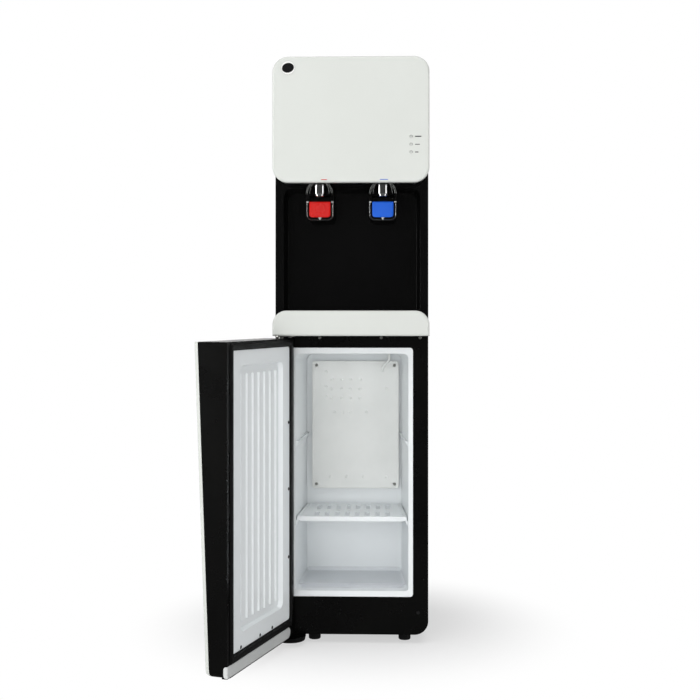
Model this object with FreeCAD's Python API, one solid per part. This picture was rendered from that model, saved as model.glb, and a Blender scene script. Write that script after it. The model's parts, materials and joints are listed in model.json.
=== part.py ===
import FreeCAD, Part
import math
import os

# Hot and cold water dispenser standing on a small refrigerator cabinet.
# Millimetres. X runs to the right, Y to the back, Z up. The origin is on the floor
# under the middle of the cabinet. The door is drawn open, as it stands at rest.

V = FreeCAD.Vector

# ---- Cabinet ----
cabinet_width = 300.0
cabinet_depth = 300.0
front_reach = 66.0
foot_height = 18.0
base_height = 34.0
fascia_height = 40.5
flange_lip = 11.5
cavity_height = 465.0
top_rail = 24.5
chin_height = 48.5
bay_height = 244.5
panel_height = 241.0
frame_thickness = 3.0
sheet = 0.8
part_gap = 0.3

half = cabinet_width / 2
front = -cabinet_depth / 2
back = cabinet_depth / 2
face = front - front_reach
base_bottom = foot_height
base_top = base_bottom + base_height
flange_bottom = base_top + fascia_height
cavity_bottom = flange_bottom + flange_lip
cavity_top = cavity_bottom + cavity_height
flange_top = cavity_top + flange_lip
chin_bottom = flange_top + top_rail
chin_top = chin_bottom + chin_height
panel_bottom = chin_top + bay_height
panel_top = panel_bottom + panel_height

# ---- Base ----
base_wall = 3.0
base_corner = 27.0
boss_height = 9.0
boss_radius = 12.0
base_plate_thickness = 1.5
base_plate_margin = 10.0
foot_radius = 12.0
foot_stud_radius = 4.0
foot_stud_length = 20.0
running_gap = 0.06
left_foot_inset = 75.0
right_foot_inset = 46.0
front_foot_inset = 38.0
rear_foot_radius = 14.0
rear_foot_inset = 25.0
rear_foot_side = 45.0
gland_side = 46.0
gland_rim = 2.5
fascia_screw_inset = 20.0
fascia_screw_rise = 9.5
gland_radius = 9.0
gland_bore = 3.6
gland_rise = 20.0

base_plate_bottom = base_bottom + base_wall + boss_height
base_plate_top = base_plate_bottom + base_plate_thickness
front_foot_y = front + front_foot_inset
rear_foot_y = back - rear_foot_inset
left_foot_x = -half + left_foot_inset
right_foot_x = half - right_foot_inset
rear_foot_x = half - rear_foot_side
gland_x = half - gland_side

# ---- Fridge liner and its foam ----
cavity_side = 39.0
machine_space = 122.0
side_draft = 11.2
top_draft = 7.0
cavity_corner = 10.0
cavity_low_corner = 6.0
cavity_corner_growth = 4.0
liner_wall = 1.5
flange_side = 9.0
flange_corner = 6.0
ledge_width = 5.0
ledge_height = 13.0
ledge_start = 12.0
upper_ledge_rise = 292.0
lower_ledge_rise = 135.5
foam_back = 20.0
foam_bottom_gap = 8.0

cavity_half = half - cavity_side
liner_front = front - liner_wall
cavity_back = back - machine_space
liner_back = cavity_back + liner_wall
foam_rear = liner_back + foam_back
deck_top = chin_bottom - 1.0
deck_bottom = deck_top - sheet

# ---- Evaporator plate ----
plate_margin = 8.8
plate_x = 3.0
plate_height = 267.5
plate_rise = 176.0
plate_thickness = 1.5
plate_spacer = 10.0
plate_corner = 6.0
plate_bead = 1.6
screw_inset = 9.0
spacer_radius = 5.0
pipe_radius = 3.0
pipe_inset = 20.0
plate_width = 2 * (cavity_half - side_draft - plate_margin)
pipe_x = plate_x + plate_width / 2 - pipe_inset

# ---- Shelf and fridge tray ----
shelf_clearance = 2.0
shelf_height = 8.0
shelf_thickness = 2.5
shelf_wall = 1.8
shelf_rim = 6.5
shelf_sink = 1.3
shelf_lip = 9.5
shelf_front_gap = 10.0
shelf_back_gap = 4.0
slot_columns = 8
slot_side_margin = 22.85
slot_width = 9.0
slot_front_margin = 14.0
slot_row_gap = 31.0
slot_back_margin = 19.0
tray_height = 9.5
tray_front_gap = 17.0
tray_back_gap = 4.0
tray_wall = 1.5
tray_lean = 5.0
tray_clearance = 2.5

# ---- Dispensing bay ----
bay_side = 16.0
bay_depth = 38.0
bay_draft = 6.0
bay_wall = 2.5
bay_top_corner = 18.0
bay_low_corner = 4.0
bay_floor_rise = 7.0
bay_head = 5.0
bay_plate_rise = 27.0

niche_half = half - bay_side
niche_floor = chin_bottom + bay_floor_rise
niche_top = panel_bottom - bay_head
niche_back = front + bay_depth

# ---- White panels, upper housing, top cover ----
skin_depth = 14.0
skin_wall = 2.5
panel_corner = 30.0
chin_corner = 27.0
skin_edge = 4.0
housing_wall = 2.5
housing_inset = 2.0
cap_drop = 3.0
cap_height = 36.0
collar_radius = 112.0
collar_mouth = 100.0
collar_thickness = 3.0
collar_throat = 34.0
neck_bore = 29.0
neck_length = 34.0
neck_wall = 3.0
dish_drop = 24.0
bottle_setback = 135.0
badge_radius = 13.0
badge_thickness = 1.2
badge_inset_x = 30.0
badge_inset_z = 22.0
lens_radius = 2.2
lens_inset = 35.0
lens_rises = (86.0, 71.0, 56.5)

skin_back = face + skin_depth
housing_bottom = panel_bottom + housing_inset
housing_top = panel_top - cap_drop
cap_bottom = housing_top - cap_height
lens_x = half - lens_inset
bottle_y = front + bottle_setback

# ---- Taps ----
tap_x = 61.0
tap_setback = 30.0
nozzle_radius = 11.8
nozzle_bore = 5.0
nozzle_length = 22.4
nozzle_tip = 4.2
bell_top = 17.0
bell_foot = 27.0
bell_drop = 21.5
bell_wall = 2.2
inner_bell_top = 14.0
inner_bell_foot = 20.5
inner_bell_wall = 1.6
bell_cut = 8.0
crown = 4.0
shank_radius = 7.0
shank_rise = 14.0
shank_end = 25.0
axle_radius = 2.0
axle_drop = 29.0
axle_back = 18.0
lug_thickness = 4.5
paddle_width = 53.0
paddle_height = 37.0
paddle_thickness = 8.0
paddle_corner = 12.0
paddle_drop = 35.0
paddle_rim = 2.8
paddle_sink = 1.8
insert_width = 41.0
insert_height = 30.2
insert_corner = 6.0
insert_bevel = 2.4
insert_depth = 2.6
insert_raise = 0.8
latch_width = 6.0
latch_stem = 3.0

tap_y = face + tap_setback
bell_z = housing_bottom - bell_drop
axle_z = housing_bottom - axle_drop
axle_y = tap_y + axle_back
paddle_top = housing_bottom - paddle_drop
paddle_front = axle_y - 10.0
tap_back = axle_y - 8.0

# ---- Drip basin, tray and grille ----
basin_inset = 3.0
basin_top_drop = 3.5
basin_back_gap = 6.0
pocket_wall = 4.0
pocket_corner = 5.0
drip_gap = 0.6
drip_flange = 4.6
drip_wall = 2.2
drip_rise = 31.0
least_corner = 1.0
grille_thickness = 3.0
grille_margin = 9.0
grille_border = 4.0
grille_pitch = 9.2
grille_slot = 5.2

basin_half = niche_half - bay_draft
pocket_half = basin_half - pocket_wall
grille_slots = int(2 * (pocket_half - grille_margin) / grille_pitch)

# ---- Tanks and pipes ----
tank_radius = 72.0
tank_wall = 1.2
tank_height = 155.0
jacket_thickness = 22.0
jacket_floor = 14.0
tank_neck = 30.0
bridge_inset = 32.0
bridge_depth = 90.0
bridge_sheet = 1.2
hot_radius = 46.0
hot_height = 160.0
hot_x = -60.0
hot_inset = 49.5
hot_stand = 26.0
tube_radius = 5.0
drain_rise = 46.0
spout_radius = 7.0
spout_bore = 4.0
spout_length = 17.0
spout_flange = 12.0
cap_wall = 3.0
spout_flange_thickness = 2.5
spout_root = 19.0
cap_grip = 2.0
hot_tube_drop = 62.0
hot_tube_entry = 10.0

hot_y = foam_rear - hot_inset
bridge_half = half - bridge_inset

# ---- Machine bay ----
compressor_width = 150.0
compressor_depth = 88.0
compressor_height = 128.0
compressor_rise = 14.0
compressor_x = -30.0
compressor_round = 26.0
seam_reach = 2.0
seam_thickness = 3.0
seam_share = 0.55
foot_plate_reach = 14.0
foot_plate_thickness = 7.0
bolt_reach = 6.0
bolt_inset = 18.0
bolt_radius = 4.0
bolt_rise = 10.0
relay_length = 30.0
relay_width = 44.0
relay_height = 44.0
relay_rise = 20.0
relay_corner = 5.0
grommet_radius = 9.0
condenser_runs = 8
condenser_pitch = 44.0
condenser_side = 32.0
condenser_tube = 2.4
condenser_wire = 0.8
condenser_wires = 12
condenser_low = 225.0
drier_top = 196.0
drier_length = 74.0
drier_radius = 8.0
capillary_radius = 1.5
suction_radius = 3.2
discharge_offset = 40.0
discharge_rise = 24.0
suction_offset = 30.0
suction_rise = 70.0
pipe_lane = 8.0
pipe_bend = 7.0
strip_width = 10.0
rear_flange = 14.0
front_flange = 9.0
rear_cover_thickness = 1.2
vent_rows = 9
vent_pitch = 11.0
vent_slot = 5.0
vent_length = 90.0
vent_column_gap = 30.0
vent_rise = 120.0
rear_screw_inset = 8.0
rear_screw_low = 12.0
rear_screw_high = 14.0
rail_screw_drop = 4.5
switch_x = (-62.0, -34.0)
switch_rise = 1010.0
rocker_tilt = 8.0
bezel_half = 11.0
bezel_rise = 10.5
bezel_thickness = 2.0
barrel_half = 9.7
barrel_rise = 8.9
barrel_length = 20.0
key_half = 8.1
key_gap = 0.3
key_room_rise = 7.4
key_room_depth = 9.0
key_pivot_depth = 4.0
key_stud_radius = 1.2
key_stud_reach = 1.1

condenser_width = cabinet_width - 2 * condenser_side
rail_screws = (-63.0, 58.0, half - 16.0)

# ---- Door ----
door_open_angle = 108.0
hinge_inset = 13.0
hinge_reach = 26.0
door_gap = 4.0
door_side_gap = 1.0
door_top_gap = 5.5
door_bottom = 21.0
door_depth_top = 62.0
door_depth_bottom = 40.0
door_skin = 6.0
door_wall = 2.5
door_low_corner = 14.0
door_top_corner = 3.0
door_nose = 13.0
band_width = 22.5
band_top = 15.5
band_bottom = 38.0
window_corner = 6.0
door_liner_wall = 1.4
recess_side = 30.5
recess_low_margin = 29.0
recess_high_margin = 27.0
recess_depth = 8.5
recess_draft = 3.5
recess_corner = 14.0
door_ribs = 7
rib_pitch = 25.7
rib_width = 7.0
rib_crest = 3.0
rib_height = 3.0
rib_margin = 16.0
gasket_height = 3.4
gasket_outer = 11.5
gasket_low = 23.0
gasket_high = 2.5
bar_height = 20.0
bar_rise = 2.5
bar_sink = 1.0
bar_proud = 0.8
bar_wrap = 6.5
bush_radius = 5.5
bush_length = 10.0
pin_radius = 3.0
hinge_plate_thickness = 8.5
hinge_plate_side = 1.0
hinge_plate_run = 46.0
hinge_plate_nose = 12.0
hinge_plate_root = 18.0
hinge_plate_round = 2.0
upper_plate_thickness = 2.6
upper_plate_edge = 11.0
upper_plate_run = 27.0
upper_plate_corner = 9.0
upper_screw_run = 17.0
upper_screw_head = 1.6
upper_screw_steps = (3.0, 17.0)
screw_radius = 3.2
screw_head = 1.0
hinge_side_screws = (158.0, 289.0, 417.0)
foot_screws = (-44.0, 11.0, 93.0)
liner_screw_inset = 4.0

hinge_x = -half + hinge_inset
hinge_y = front - hinge_reach
hinge_plate_left = -half + hinge_plate_side
hinge_plate_right = hinge_x + hinge_plate_run
hinge_plate_front = hinge_y - hinge_plate_nose
door_back = front - door_gap
door_half = half - door_side_gap
door_top = chin_bottom - door_top_gap
window_half = door_half - band_width
window_bottom = door_bottom + band_bottom
window_top = door_top - band_top
recess_half = window_half - recess_side
recess_bottom = window_bottom + recess_low_margin
recess_top = window_top - recess_high_margin


# ---- Helpers ----
def on_y(y):
    return lambda u, v: V(u, y, v)


def on_z(z):
    return lambda u, v: V(u, v, z)


def on_x(x):
    return lambda u, v: V(x, u, v)


def block(x0, x1, y0, y1, z0, z1):
    return Part.makeBox(x1 - x0, y1 - y0, z1 - z0, V(x0, y0, z0))


def rod(radius, start, end):
    return Part.makeCylinder(radius, (end - start).Length, start, end - start)


def corner_arc(previous, corner, following, radius):
    """The tangent arc that rounds one corner, as its start, middle and end."""
    before = (previous - corner).normalize()
    after = (following - corner).normalize()
    bisector = before + after
    bisector.normalize()
    angle = before.getAngle(after) / 2
    reach = radius / math.tan(angle)
    centre = corner + bisector * (radius / math.sin(angle))
    return corner + before * reach, centre - bisector * radius, corner + after * reach


def rounded(corners, radii, closed=True):
    """A wire through corners, each rounded by its own radius."""
    count = len(corners)
    edges = []
    last = None
    first = None
    for i, corner in enumerate(corners):
        radius = radii[i]
        if not closed and i in (0, count - 1):
            radius = 0
        if radius > 0:
            begin, middle, end = corner_arc(corners[i - 1], corner, corners[(i + 1) % count], radius)
        else:
            begin = corner
            end = corner
        if last is not None and (begin - last).Length > 1e-6:
            edges.append(Part.makeLine(last, begin))
        if radius > 0:
            edges.append(Part.Arc(begin, middle, end).toShape())
        if first is None:
            first = begin
        last = end
    if closed and (first - last).Length > 1e-6:
        edges.append(Part.makeLine(last, first))
    return Part.Wire(edges)


def frame_wire(u0, u1, v0, v1, low, high, place):
    """A rectangle with its two low corners and its two high corners rounded alike."""
    corners = [place(u0, v0), place(u1, v0), place(u1, v1), place(u0, v1)]
    return rounded(corners, [low, low, high, high])


def slab(wire, direction):
    return Part.Face(wire).extrude(direction)


def front_slab(x_half, z0, z1, low, high, y0, y1):
    """A plate seen from the front as a rounded rectangle, between two depths."""
    return slab(frame_wire(-x_half, x_half, z0, z1, low, high, on_y(y0)), V(0, y1 - y0, 0))


def drafted(half0, z0, z1, low0, high0, y0, half1, z2, z3, low1, high1, y1):
    """A straight loft between two rounded rectangles at two depths."""
    near = frame_wire(-half0, half0, z0, z1, low0, high0, on_y(y0))
    far = frame_wire(-half1, half1, z2, z3, low1, high1, on_y(y1))
    return Part.makeLoft([near, far], True, True)


def turned(profile, centre, axis=V(0, 0, 1)):
    """A ring or solid turned about an axis from a closed wire."""
    return Part.Face(profile).revolve(centre, axis, 360)


def lathe(points, x, y):
    """A solid turned about a standing axis from (radius, height) corners."""
    corners = [V(x + r, y, z) for r, z in points]
    corners.append(corners[0])
    return turned(Part.makePolygon(corners), V(x, y, 0))


def bent_tube(points, bend, radius):
    """A round tube along straight runs joined by bends."""
    path = rounded(points, [bend] * len(points), False)
    run = points[1] - points[0]
    profile = Part.Wire(Part.makeCircle(radius, points[0], run))
    return path.makePipeShell([profile], True, False)


def edges_where(shape, test):
    return [edge for edge in shape.Edges if test(edge)]


def whole(shapes):
    """One solid from pieces that meet."""
    body = shapes[0].fuse(shapes[1:]) if len(shapes) > 1 else shapes[0]
    return body.removeSplitter()


def mirrored(shape):
    return shape.mirror(V(0, 0, 0), V(1, 0, 0))


# ---- Carcass ----
def side_panel():
    """The right steel side: one wall with a folded edge at the front and at the back."""
    start = front + frame_thickness
    wall = block(half - sheet, half, start, back, base_top, cap_bottom)
    near = block(half - front_flange, half - sheet / 2, start, start + sheet, base_top, chin_bottom)
    far = block(half - rear_flange, half - sheet / 2, back - sheet, back, base_top, cap_bottom)
    return whole([wall, near, far])


def base_tub():
    """The black base moulding with rounded lower corners, its bosses and two fixed rear feet."""
    outer = front_slab(half, base_bottom, base_top, base_corner, 0, front, back)
    inner_corner = base_corner - base_wall
    inner = front_slab(half - base_wall, base_bottom + base_wall, base_top + 1, inner_corner, 0,
                       front + base_wall, back - base_wall)
    tub = outer.cut(inner)
    feet = [(left_foot_x, front_foot_y), (right_foot_x, front_foot_y)]
    spots = feet + [(-rear_foot_x, rear_foot_y), (rear_foot_x, rear_foot_y)]
    bosses = [rod(boss_radius, V(x, y, base_bottom + 1), V(x, y, base_plate_bottom)) for x, y in spots]
    rear = [lathe([(0, 0), (rear_foot_radius - 2, 0), (rear_foot_radius, 2),
                   (rear_foot_radius, base_bottom + 1), (0, base_bottom + 1)], x, rear_foot_y)
            for x in (-rear_foot_x, rear_foot_x)]
    tub = whole([tub] + bosses + rear)
    for x, y in feet:
        tub = tub.cut(rod(foot_stud_radius + running_gap, V(x, y, 0), V(x, y, base_top)))
    gland = rod(gland_radius, V(gland_x, back - 2 * base_wall, gland_z()), V(gland_x, back + 1, gland_z()))
    return tub.cut(gland)


def gland_z():
    return base_bottom + gland_rise


def base_plate():
    """The steel plate in the base, with holes for the feet and the compressor bolts."""
    reach = half - base_plate_margin
    plate = block(-reach, reach, front + base_wall + 1, back - 2 * base_wall - 1,
                  base_plate_bottom, base_plate_top)
    for x, y in [(left_foot_x, front_foot_y), (right_foot_x, front_foot_y)]:
        plate = plate.cut(rod(foot_stud_radius + part_gap, V(x, y, 0), V(x, y, base_top)))
    return plate


def levelling_foot(x):
    """A screw-in foot: a round pad with a stud."""
    top = base_bottom - part_gap
    stud_top = base_bottom + foot_stud_length
    points = [(0, 0), (foot_radius - 1, 0), (foot_radius, 1.5), (foot_radius, top - 2),
              (foot_radius - 2, top), (foot_stud_radius, top), (foot_stud_radius, stud_top), (0, stud_top)]
    return lathe(points, x, front_foot_y)


def cord_gland():
    """The rubber gland in the back of the base, where the supply lead would pass."""
    y = back
    z = gland_z()
    body = rod(gland_radius - part_gap, V(gland_x, y - base_wall - 3, z), V(gland_x, y, z))
    rim = rod(gland_radius + gland_rim, V(gland_x, y, z), V(gland_x, y + gland_rim, z))
    bore = rod(gland_bore, V(gland_x, y - 10, z), V(gland_x, y + 5, z))
    return whole([body, rim]).cut(bore)


def front_frame():
    """The black moulded front round the fridge opening, with the fascia below it."""
    plate = front_slab(half, base_top, chin_bottom, 0, 0, front, front + frame_thickness)
    outer = edges_where(plate, lambda e: abs(e.CenterOfMass.y - front) < 1e-3
                        and abs(e.CenterOfMass.x) > half - 1e-3)
    plate = plate.makeFillet(frame_thickness - 0.6, outer)
    gap = liner_wall + part_gap
    hole = front_slab(cavity_half + gap, cavity_bottom - gap, cavity_top + gap,
                      cavity_low_corner + gap, cavity_corner + gap, front - 1, front + frame_thickness + 1)
    plate = plate.cut(hole)
    for x, z in fascia_screws():
        plate = plate.cut(rod(screw_radius + 0.1, V(x, front - 1, z), V(x, front + 2 * frame_thickness, z)))
    return plate


def fascia_screws():
    z = base_top + fascia_screw_rise
    return [(side * (half - fascia_screw_inset), z) for side in (-1, 1)]


def liner_shape(grow):
    """The drafted form of the fridge compartment, grown outwards by a wall."""
    low = cavity_low_corner + grow
    near_corner = cavity_corner + grow
    far_corner = near_corner + cavity_corner_growth
    return drafted(cavity_half + grow, cavity_bottom - grow, cavity_top + grow, low, near_corner,
                   liner_front, cavity_half - side_draft + grow, cavity_bottom - grow,
                   cavity_top - top_draft + grow, low, far_corner, cavity_back + grow)


def depth_share(y):
    return (y - liner_front) / (cavity_back - liner_front)


def cavity_half_at(y):
    """Half the inner width of the compartment at a depth."""
    return cavity_half - side_draft * depth_share(y)


def ceiling_at(y):
    """The height of the compartment's ceiling at a depth."""
    return cavity_top - top_draft * depth_share(y)


def ledge_profile(side, y, top):
    """A ledge's section at a depth: level on top, its underside sloping back to the wall."""
    wall_x = side * (cavity_half_at(y) + liner_wall / 2)
    tip_x = side * (cavity_half_at(y) - ledge_width)
    corners = [V(tip_x, y, top), V(wall_x, y, top), V(wall_x, y, top - ledge_height), V(tip_x, y, top - 2.0)]
    corners.append(corners[0])
    return Part.makePolygon(corners)


def fridge_liner():
    """The white thermoformed compartment with its flange and two pairs of ledges."""
    outer = liner_shape(liner_wall)
    shell = outer.cut(block(-half, half, liner_front - 1, front, 0, panel_top))
    flange = front_slab(cavity_half + flange_side, flange_bottom, flange_top, flange_corner, flange_corner,
                        liner_front, front)
    liner = whole([shell, flange]).cut(liner_shape(0))
    start = front + ledge_start
    end = cavity_back - 2
    for top in (cavity_bottom + lower_ledge_rise, cavity_bottom + upper_ledge_rise):
        for side in (-1, 1):
            ledge = Part.makeLoft([ledge_profile(side, start, top), ledge_profile(side, end, top)], True, True)
            liner = liner.fuse(ledge.common(outer))
    return liner.removeSplitter()


def cabinet_foam():
    """The insulating foam between the liner and the steel."""
    start = front + frame_thickness + sheet + part_gap
    body = block(-half + sheet + part_gap, half - sheet - part_gap, start, foam_rear,
                 base_top + foam_bottom_gap, deck_bottom - 0.2)
    return body.cut(liner_shape(liner_wall + part_gap))


def partition():
    """The galvanised sheet behind the foam, folded into the deck, with the cold tank's bridge."""
    inner = half - sheet - part_gap
    standing = block(-inner, inner, foam_rear, foam_rear + sheet, base_top + foam_bottom_gap, deck_top)
    deck = block(-inner, inner, front + frame_thickness + 2 * sheet, foam_rear, deck_bottom, deck_top)
    top = tank_top() - tank_height - jacket_floor
    reach = bridge_half
    near = bottle_y - bridge_depth / 2
    far = bottle_y + bridge_depth / 2
    legs = [block(x, x + bridge_sheet, near, far, deck_bottom, top) for x in (-reach, reach - bridge_sheet)]
    bridge = block(-reach, reach, near, far, top - bridge_sheet, top)
    return whole([standing, deck, bridge] + legs)


# ---- Inside the fridge ----
def plate_front():
    return cavity_back - plate_spacer - plate_thickness


def evaporator_plate():
    """The cooling plate on the back wall with its beaded edge and the pipe that feeds it."""
    y = plate_front()
    low = cavity_bottom + plate_rise
    high = low + plate_height
    reach = plate_width / 2
    plate = front_slab(reach, low, high, plate_corner, plate_corner, y, y + plate_thickness)
    bead = front_slab(reach, low, high, plate_corner, plate_corner, y - 0.7, y)
    inner = front_slab(reach - plate_bead, low + plate_bead, high - plate_bead,
                       plate_corner - plate_bead, plate_corner - plate_bead, y - 1, y)
    plate = whole([plate, bead.cut(inner)])
    plate.translate(V(plate_x, 0, 0))
    lane = y - pipe_radius - 1.2
    top = ceiling_at(lane + pipe_radius) - 0.2
    points = [V(pipe_x, lane, top), V(pipe_x, lane, high + 2), V(pipe_x - 13, lane, high - 11),
              V(pipe_x - 15, y + plate_thickness / 2, high - 22)]
    pipe = bent_tube(points, 6.0, pipe_radius)
    trimmed = pipe.common(block(-half, half, front, y + plate_thickness, 0, cavity_top))
    return whole([plate, trimmed])


def plate_holes():
    low = cavity_bottom + plate_rise
    reach = plate_width / 2 - screw_inset
    return [(plate_x + x, z) for x in (-reach, reach)
            for z in (low + screw_inset, low + plate_height - screw_inset)]


def evaporator_screws():
    """Four screws, each with the spacer that holds the plate off the back wall."""
    y = plate_front()
    group = []
    for x, z in plate_holes():
        spacer = rod(spacer_radius, V(x, y + plate_thickness, z), V(x, cavity_back, z))
        head = rod(screw_radius, V(x, y - 1.4, z), V(x, y, z))
        group.append(spacer)
        group.append(head)
    return Part.makeCompound(group)


def shelf_plan(inset, z):
    start = front + shelf_front_gap
    end = cavity_back - shelf_back_gap
    near = cavity_half_at(start) - shelf_clearance - inset
    far = cavity_half_at(end) - shelf_clearance - inset
    corners = [V(-near, start + inset, z), V(near, start + inset, z),
               V(far, end - inset, z), V(-far, end - inset, z)]
    return rounded(corners, [1.0, 1.0, 2.5, 2.5])


def shelf_slots(low):
    """Two rows of through slots, for cutting out of the shelf."""
    start = front + shelf_front_gap
    end = cavity_back - shelf_back_gap
    length = (end - start - slot_front_margin - slot_row_gap - slot_back_margin) / 2
    outermost = cavity_half_at(end) - shelf_clearance - slot_side_margin - slot_width / 2
    pitch = 2 * outermost / (slot_columns - 1)
    group = []
    for y in (start + slot_front_margin, start + slot_front_margin + length + slot_row_gap):
        for column in range(slot_columns):
            x = column * pitch - outermost
            group.append(block(x - slot_width / 2, x + slot_width / 2, y, y + length, low, low + 20))
    return Part.makeCompound(group)


def shelf():
    """The white shelf, which follows the draft of the walls: a rim, a sunk plate and a deeper front lip."""
    low = cavity_bottom + lower_ledge_rise
    top = low + shelf_height
    body = slab(shelf_plan(0, low), V(0, 0, shelf_height))
    plate_top = top - shelf_sink
    body = body.cut(slab(shelf_plan(shelf_rim, plate_top), V(0, 0, shelf_height)))
    under = slab(shelf_plan(shelf_wall, low - 1), V(0, 0, plate_top - shelf_thickness - low + 1))
    body = body.cut(under)
    start = front + shelf_front_gap
    near = cavity_half_at(start) - shelf_clearance - ledge_width - 1.5
    lip = block(-near, near, start, start + shelf_wall, top - shelf_lip, low + 1)
    body = whole([body, lip])
    return body.cut(shelf_slots(low - 5))


def tray_plan(inset, z):
    start = front + tray_front_gap
    end = cavity_back - tray_back_gap
    near = cavity_half_at(start) - tray_clearance - inset
    far = cavity_half_at(end) - tray_clearance - inset
    corners = [V(-near, start + inset, z), V(near, start + inset, z),
               V(far, end - inset, z), V(-far, end - inset, z)]
    return rounded(corners, [4.0, 4.0, 11.0, 11.0])


def fridge_tray():
    """The shallow clear tray on the fridge floor, its walls leaning out to the rim."""
    low = cavity_bottom + part_gap
    high = low + tray_height
    side = tray_wall + 1.2
    outer = Part.makeLoft([tray_plan(tray_lean, low), tray_plan(1.2, high)], True, True)
    floor = tray_plan(tray_lean + tray_wall, low + tray_wall)
    inner = Part.makeLoft([floor, tray_plan(side, high + 0.5)], True, True)
    rim = slab(tray_plan(0, high - tray_wall), V(0, 0, tray_wall))
    return whole([outer, rim]).cut(inner)


# ---- Dispensing bay ----
def niche_shape(grow):
    """The recess where a cup stands, grown outwards by a wall."""
    low = bay_low_corner + grow
    top = bay_top_corner + grow
    return drafted(niche_half + grow, niche_floor - grow, niche_top + grow, low, top, front,
                   niche_half - bay_draft + grow, niche_floor - grow, niche_top - bay_draft + grow,
                   low, top, niche_back + grow)


def bay_moulding():
    """The glossy black front of the bay with its recess and the two tap holes."""
    plate = front_slab(half, chin_bottom, panel_bottom + bay_plate_rise, 0, 0, front, front + frame_thickness)
    body = whole([plate, niche_shape(bay_wall)]).cut(niche_shape(0))
    body = body.cut(block(-half, half, front - 1, front, 0, panel_top))
    for x in (-tap_x, tap_x):
        hole = rod(shank_radius + part_gap, V(x, front - 1, shank_z()), V(x, front + 9, shank_z()))
        body = body.cut(hole)
    return body


def shank_z():
    return housing_bottom + shank_rise


def soft_skin(z0, z1, low, high):
    """A white panel: a shallow box with softened front edges, open to the back."""
    outer = front_slab(half, z0, z1, low, high, face, skin_back)
    rim = edges_where(outer, lambda e: max(abs(e.BoundBox.YMin - face), abs(e.BoundBox.YMax - face)) < 1e-3)
    outer = outer.makeFillet(skin_edge, rim)
    inner_low = max(low - skin_wall, 0)
    inner = front_slab(half - skin_wall, z0 + skin_wall, z1 - skin_wall, inner_low, high - skin_wall,
                       face + skin_wall, skin_back + 1)
    return outer.cut(inner)


def badge_place():
    return V(-half + badge_inset_x, face, panel_top - badge_inset_z)


def front_panel():
    """The white upper panel with a shallow seat for the badge and three lens holes."""
    body = soft_skin(panel_bottom, panel_top, panel_corner, panel_corner)
    seat = badge_place()
    body = body.cut(rod(badge_radius + 0.1, seat - V(0, 1, 0), seat + V(0, badge_thickness / 2, 0)))
    for rise in lens_rises:
        z = panel_bottom + rise
        body = body.cut(rod(lens_radius + 0.1, V(lens_x, face - 1, z), V(lens_x, face + skin_wall + 1, z)))
    return body


def badge_disc():
    """A plain round disc in the corner of the panel."""
    seat = badge_place()
    disc = rod(badge_radius, seat - V(0, badge_thickness / 2, 0), seat + V(0, badge_thickness / 2, 0))
    rim = edges_where(disc, lambda e: abs(e.CenterOfMass.y - (face - badge_thickness / 2)) < 1e-3)
    return disc.makeFillet(0.4, rim)


def indicator_lenses():
    """Three small round lenses on one strip behind the panel."""
    lenses = []
    inner = face + skin_wall
    for rise in lens_rises:
        z = panel_bottom + rise
        lenses.append(rod(lens_radius, V(lens_x, face - 0.2, z), V(lens_x, inner + 1.5, z)))
    low = panel_bottom + min(lens_rises) - 6
    high = panel_bottom + max(lens_rises) + 6
    strip = block(lens_x - 5, lens_x + 5, inner, inner + 1.5, low, high)
    return whole([strip] + lenses)


def chin_panel():
    """The white front of the drip tray housing."""
    return soft_skin(chin_bottom, chin_top, 0, chin_corner)


def housing_slab(grow, y0, y1):
    reach = half - housing_inset + grow
    corner = panel_corner - housing_inset + grow
    return front_slab(reach, housing_bottom - grow, housing_top + grow, corner, corner, y0, y1)


def upper_housing():
    """The black box behind the white panel, open to the cabinet, with openings for the taps."""
    body = housing_slab(0, skin_back, front)
    body = body.cut(housing_slab(-housing_wall, skin_back + housing_wall, front + 1))
    for x in (-tap_x, tap_x):
        body = body.cut(block(x - 16 - part_gap, x + 16 + part_gap, tap_back - part_gap, front + 1,
                              housing_bottom - 1, housing_bottom + 2 * housing_wall))
    return body


def top_cover():
    """The black cap over the cabinet, rounded like the panel, with the hole for the bottle collar."""
    low = cap_bottom
    corner = panel_corner - housing_inset
    outer = front_slab(half, low, housing_top, 0, corner, front + 0.2, back)
    inner = front_slab(half - housing_wall, low - 1, housing_top - housing_wall, 0, corner - housing_wall,
                       front - 1, back - housing_wall)
    hole = rod(collar_mouth + collar_thickness + part_gap, V(0, bottle_y, low - 1), V(0, bottle_y, panel_top))
    return outer.cut(inner).cut(hole)


def neck_bottom():
    return panel_top - dish_drop - neck_length


def bottle_collar():
    """The seat for an upturned bottle: a flange, a sloping dish and a bore for the neck."""
    top = panel_top
    seat = housing_top
    throat_z = top - dish_drop
    points = [(collar_radius, seat), (collar_radius, top - 1), (collar_radius - 1, top),
              (collar_mouth, top), (collar_throat, throat_z), (neck_bore, throat_z - 3),
              (neck_bore, neck_bottom()), (neck_bore + neck_wall, neck_bottom()),
              (neck_bore + neck_wall, throat_z - 5), (collar_throat + 2, throat_z - collar_thickness - 1.5),
              (collar_mouth + 2, seat - collar_thickness), (collar_mouth + collar_thickness, seat)]
    return lathe(points, 0, bottle_y)


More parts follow.
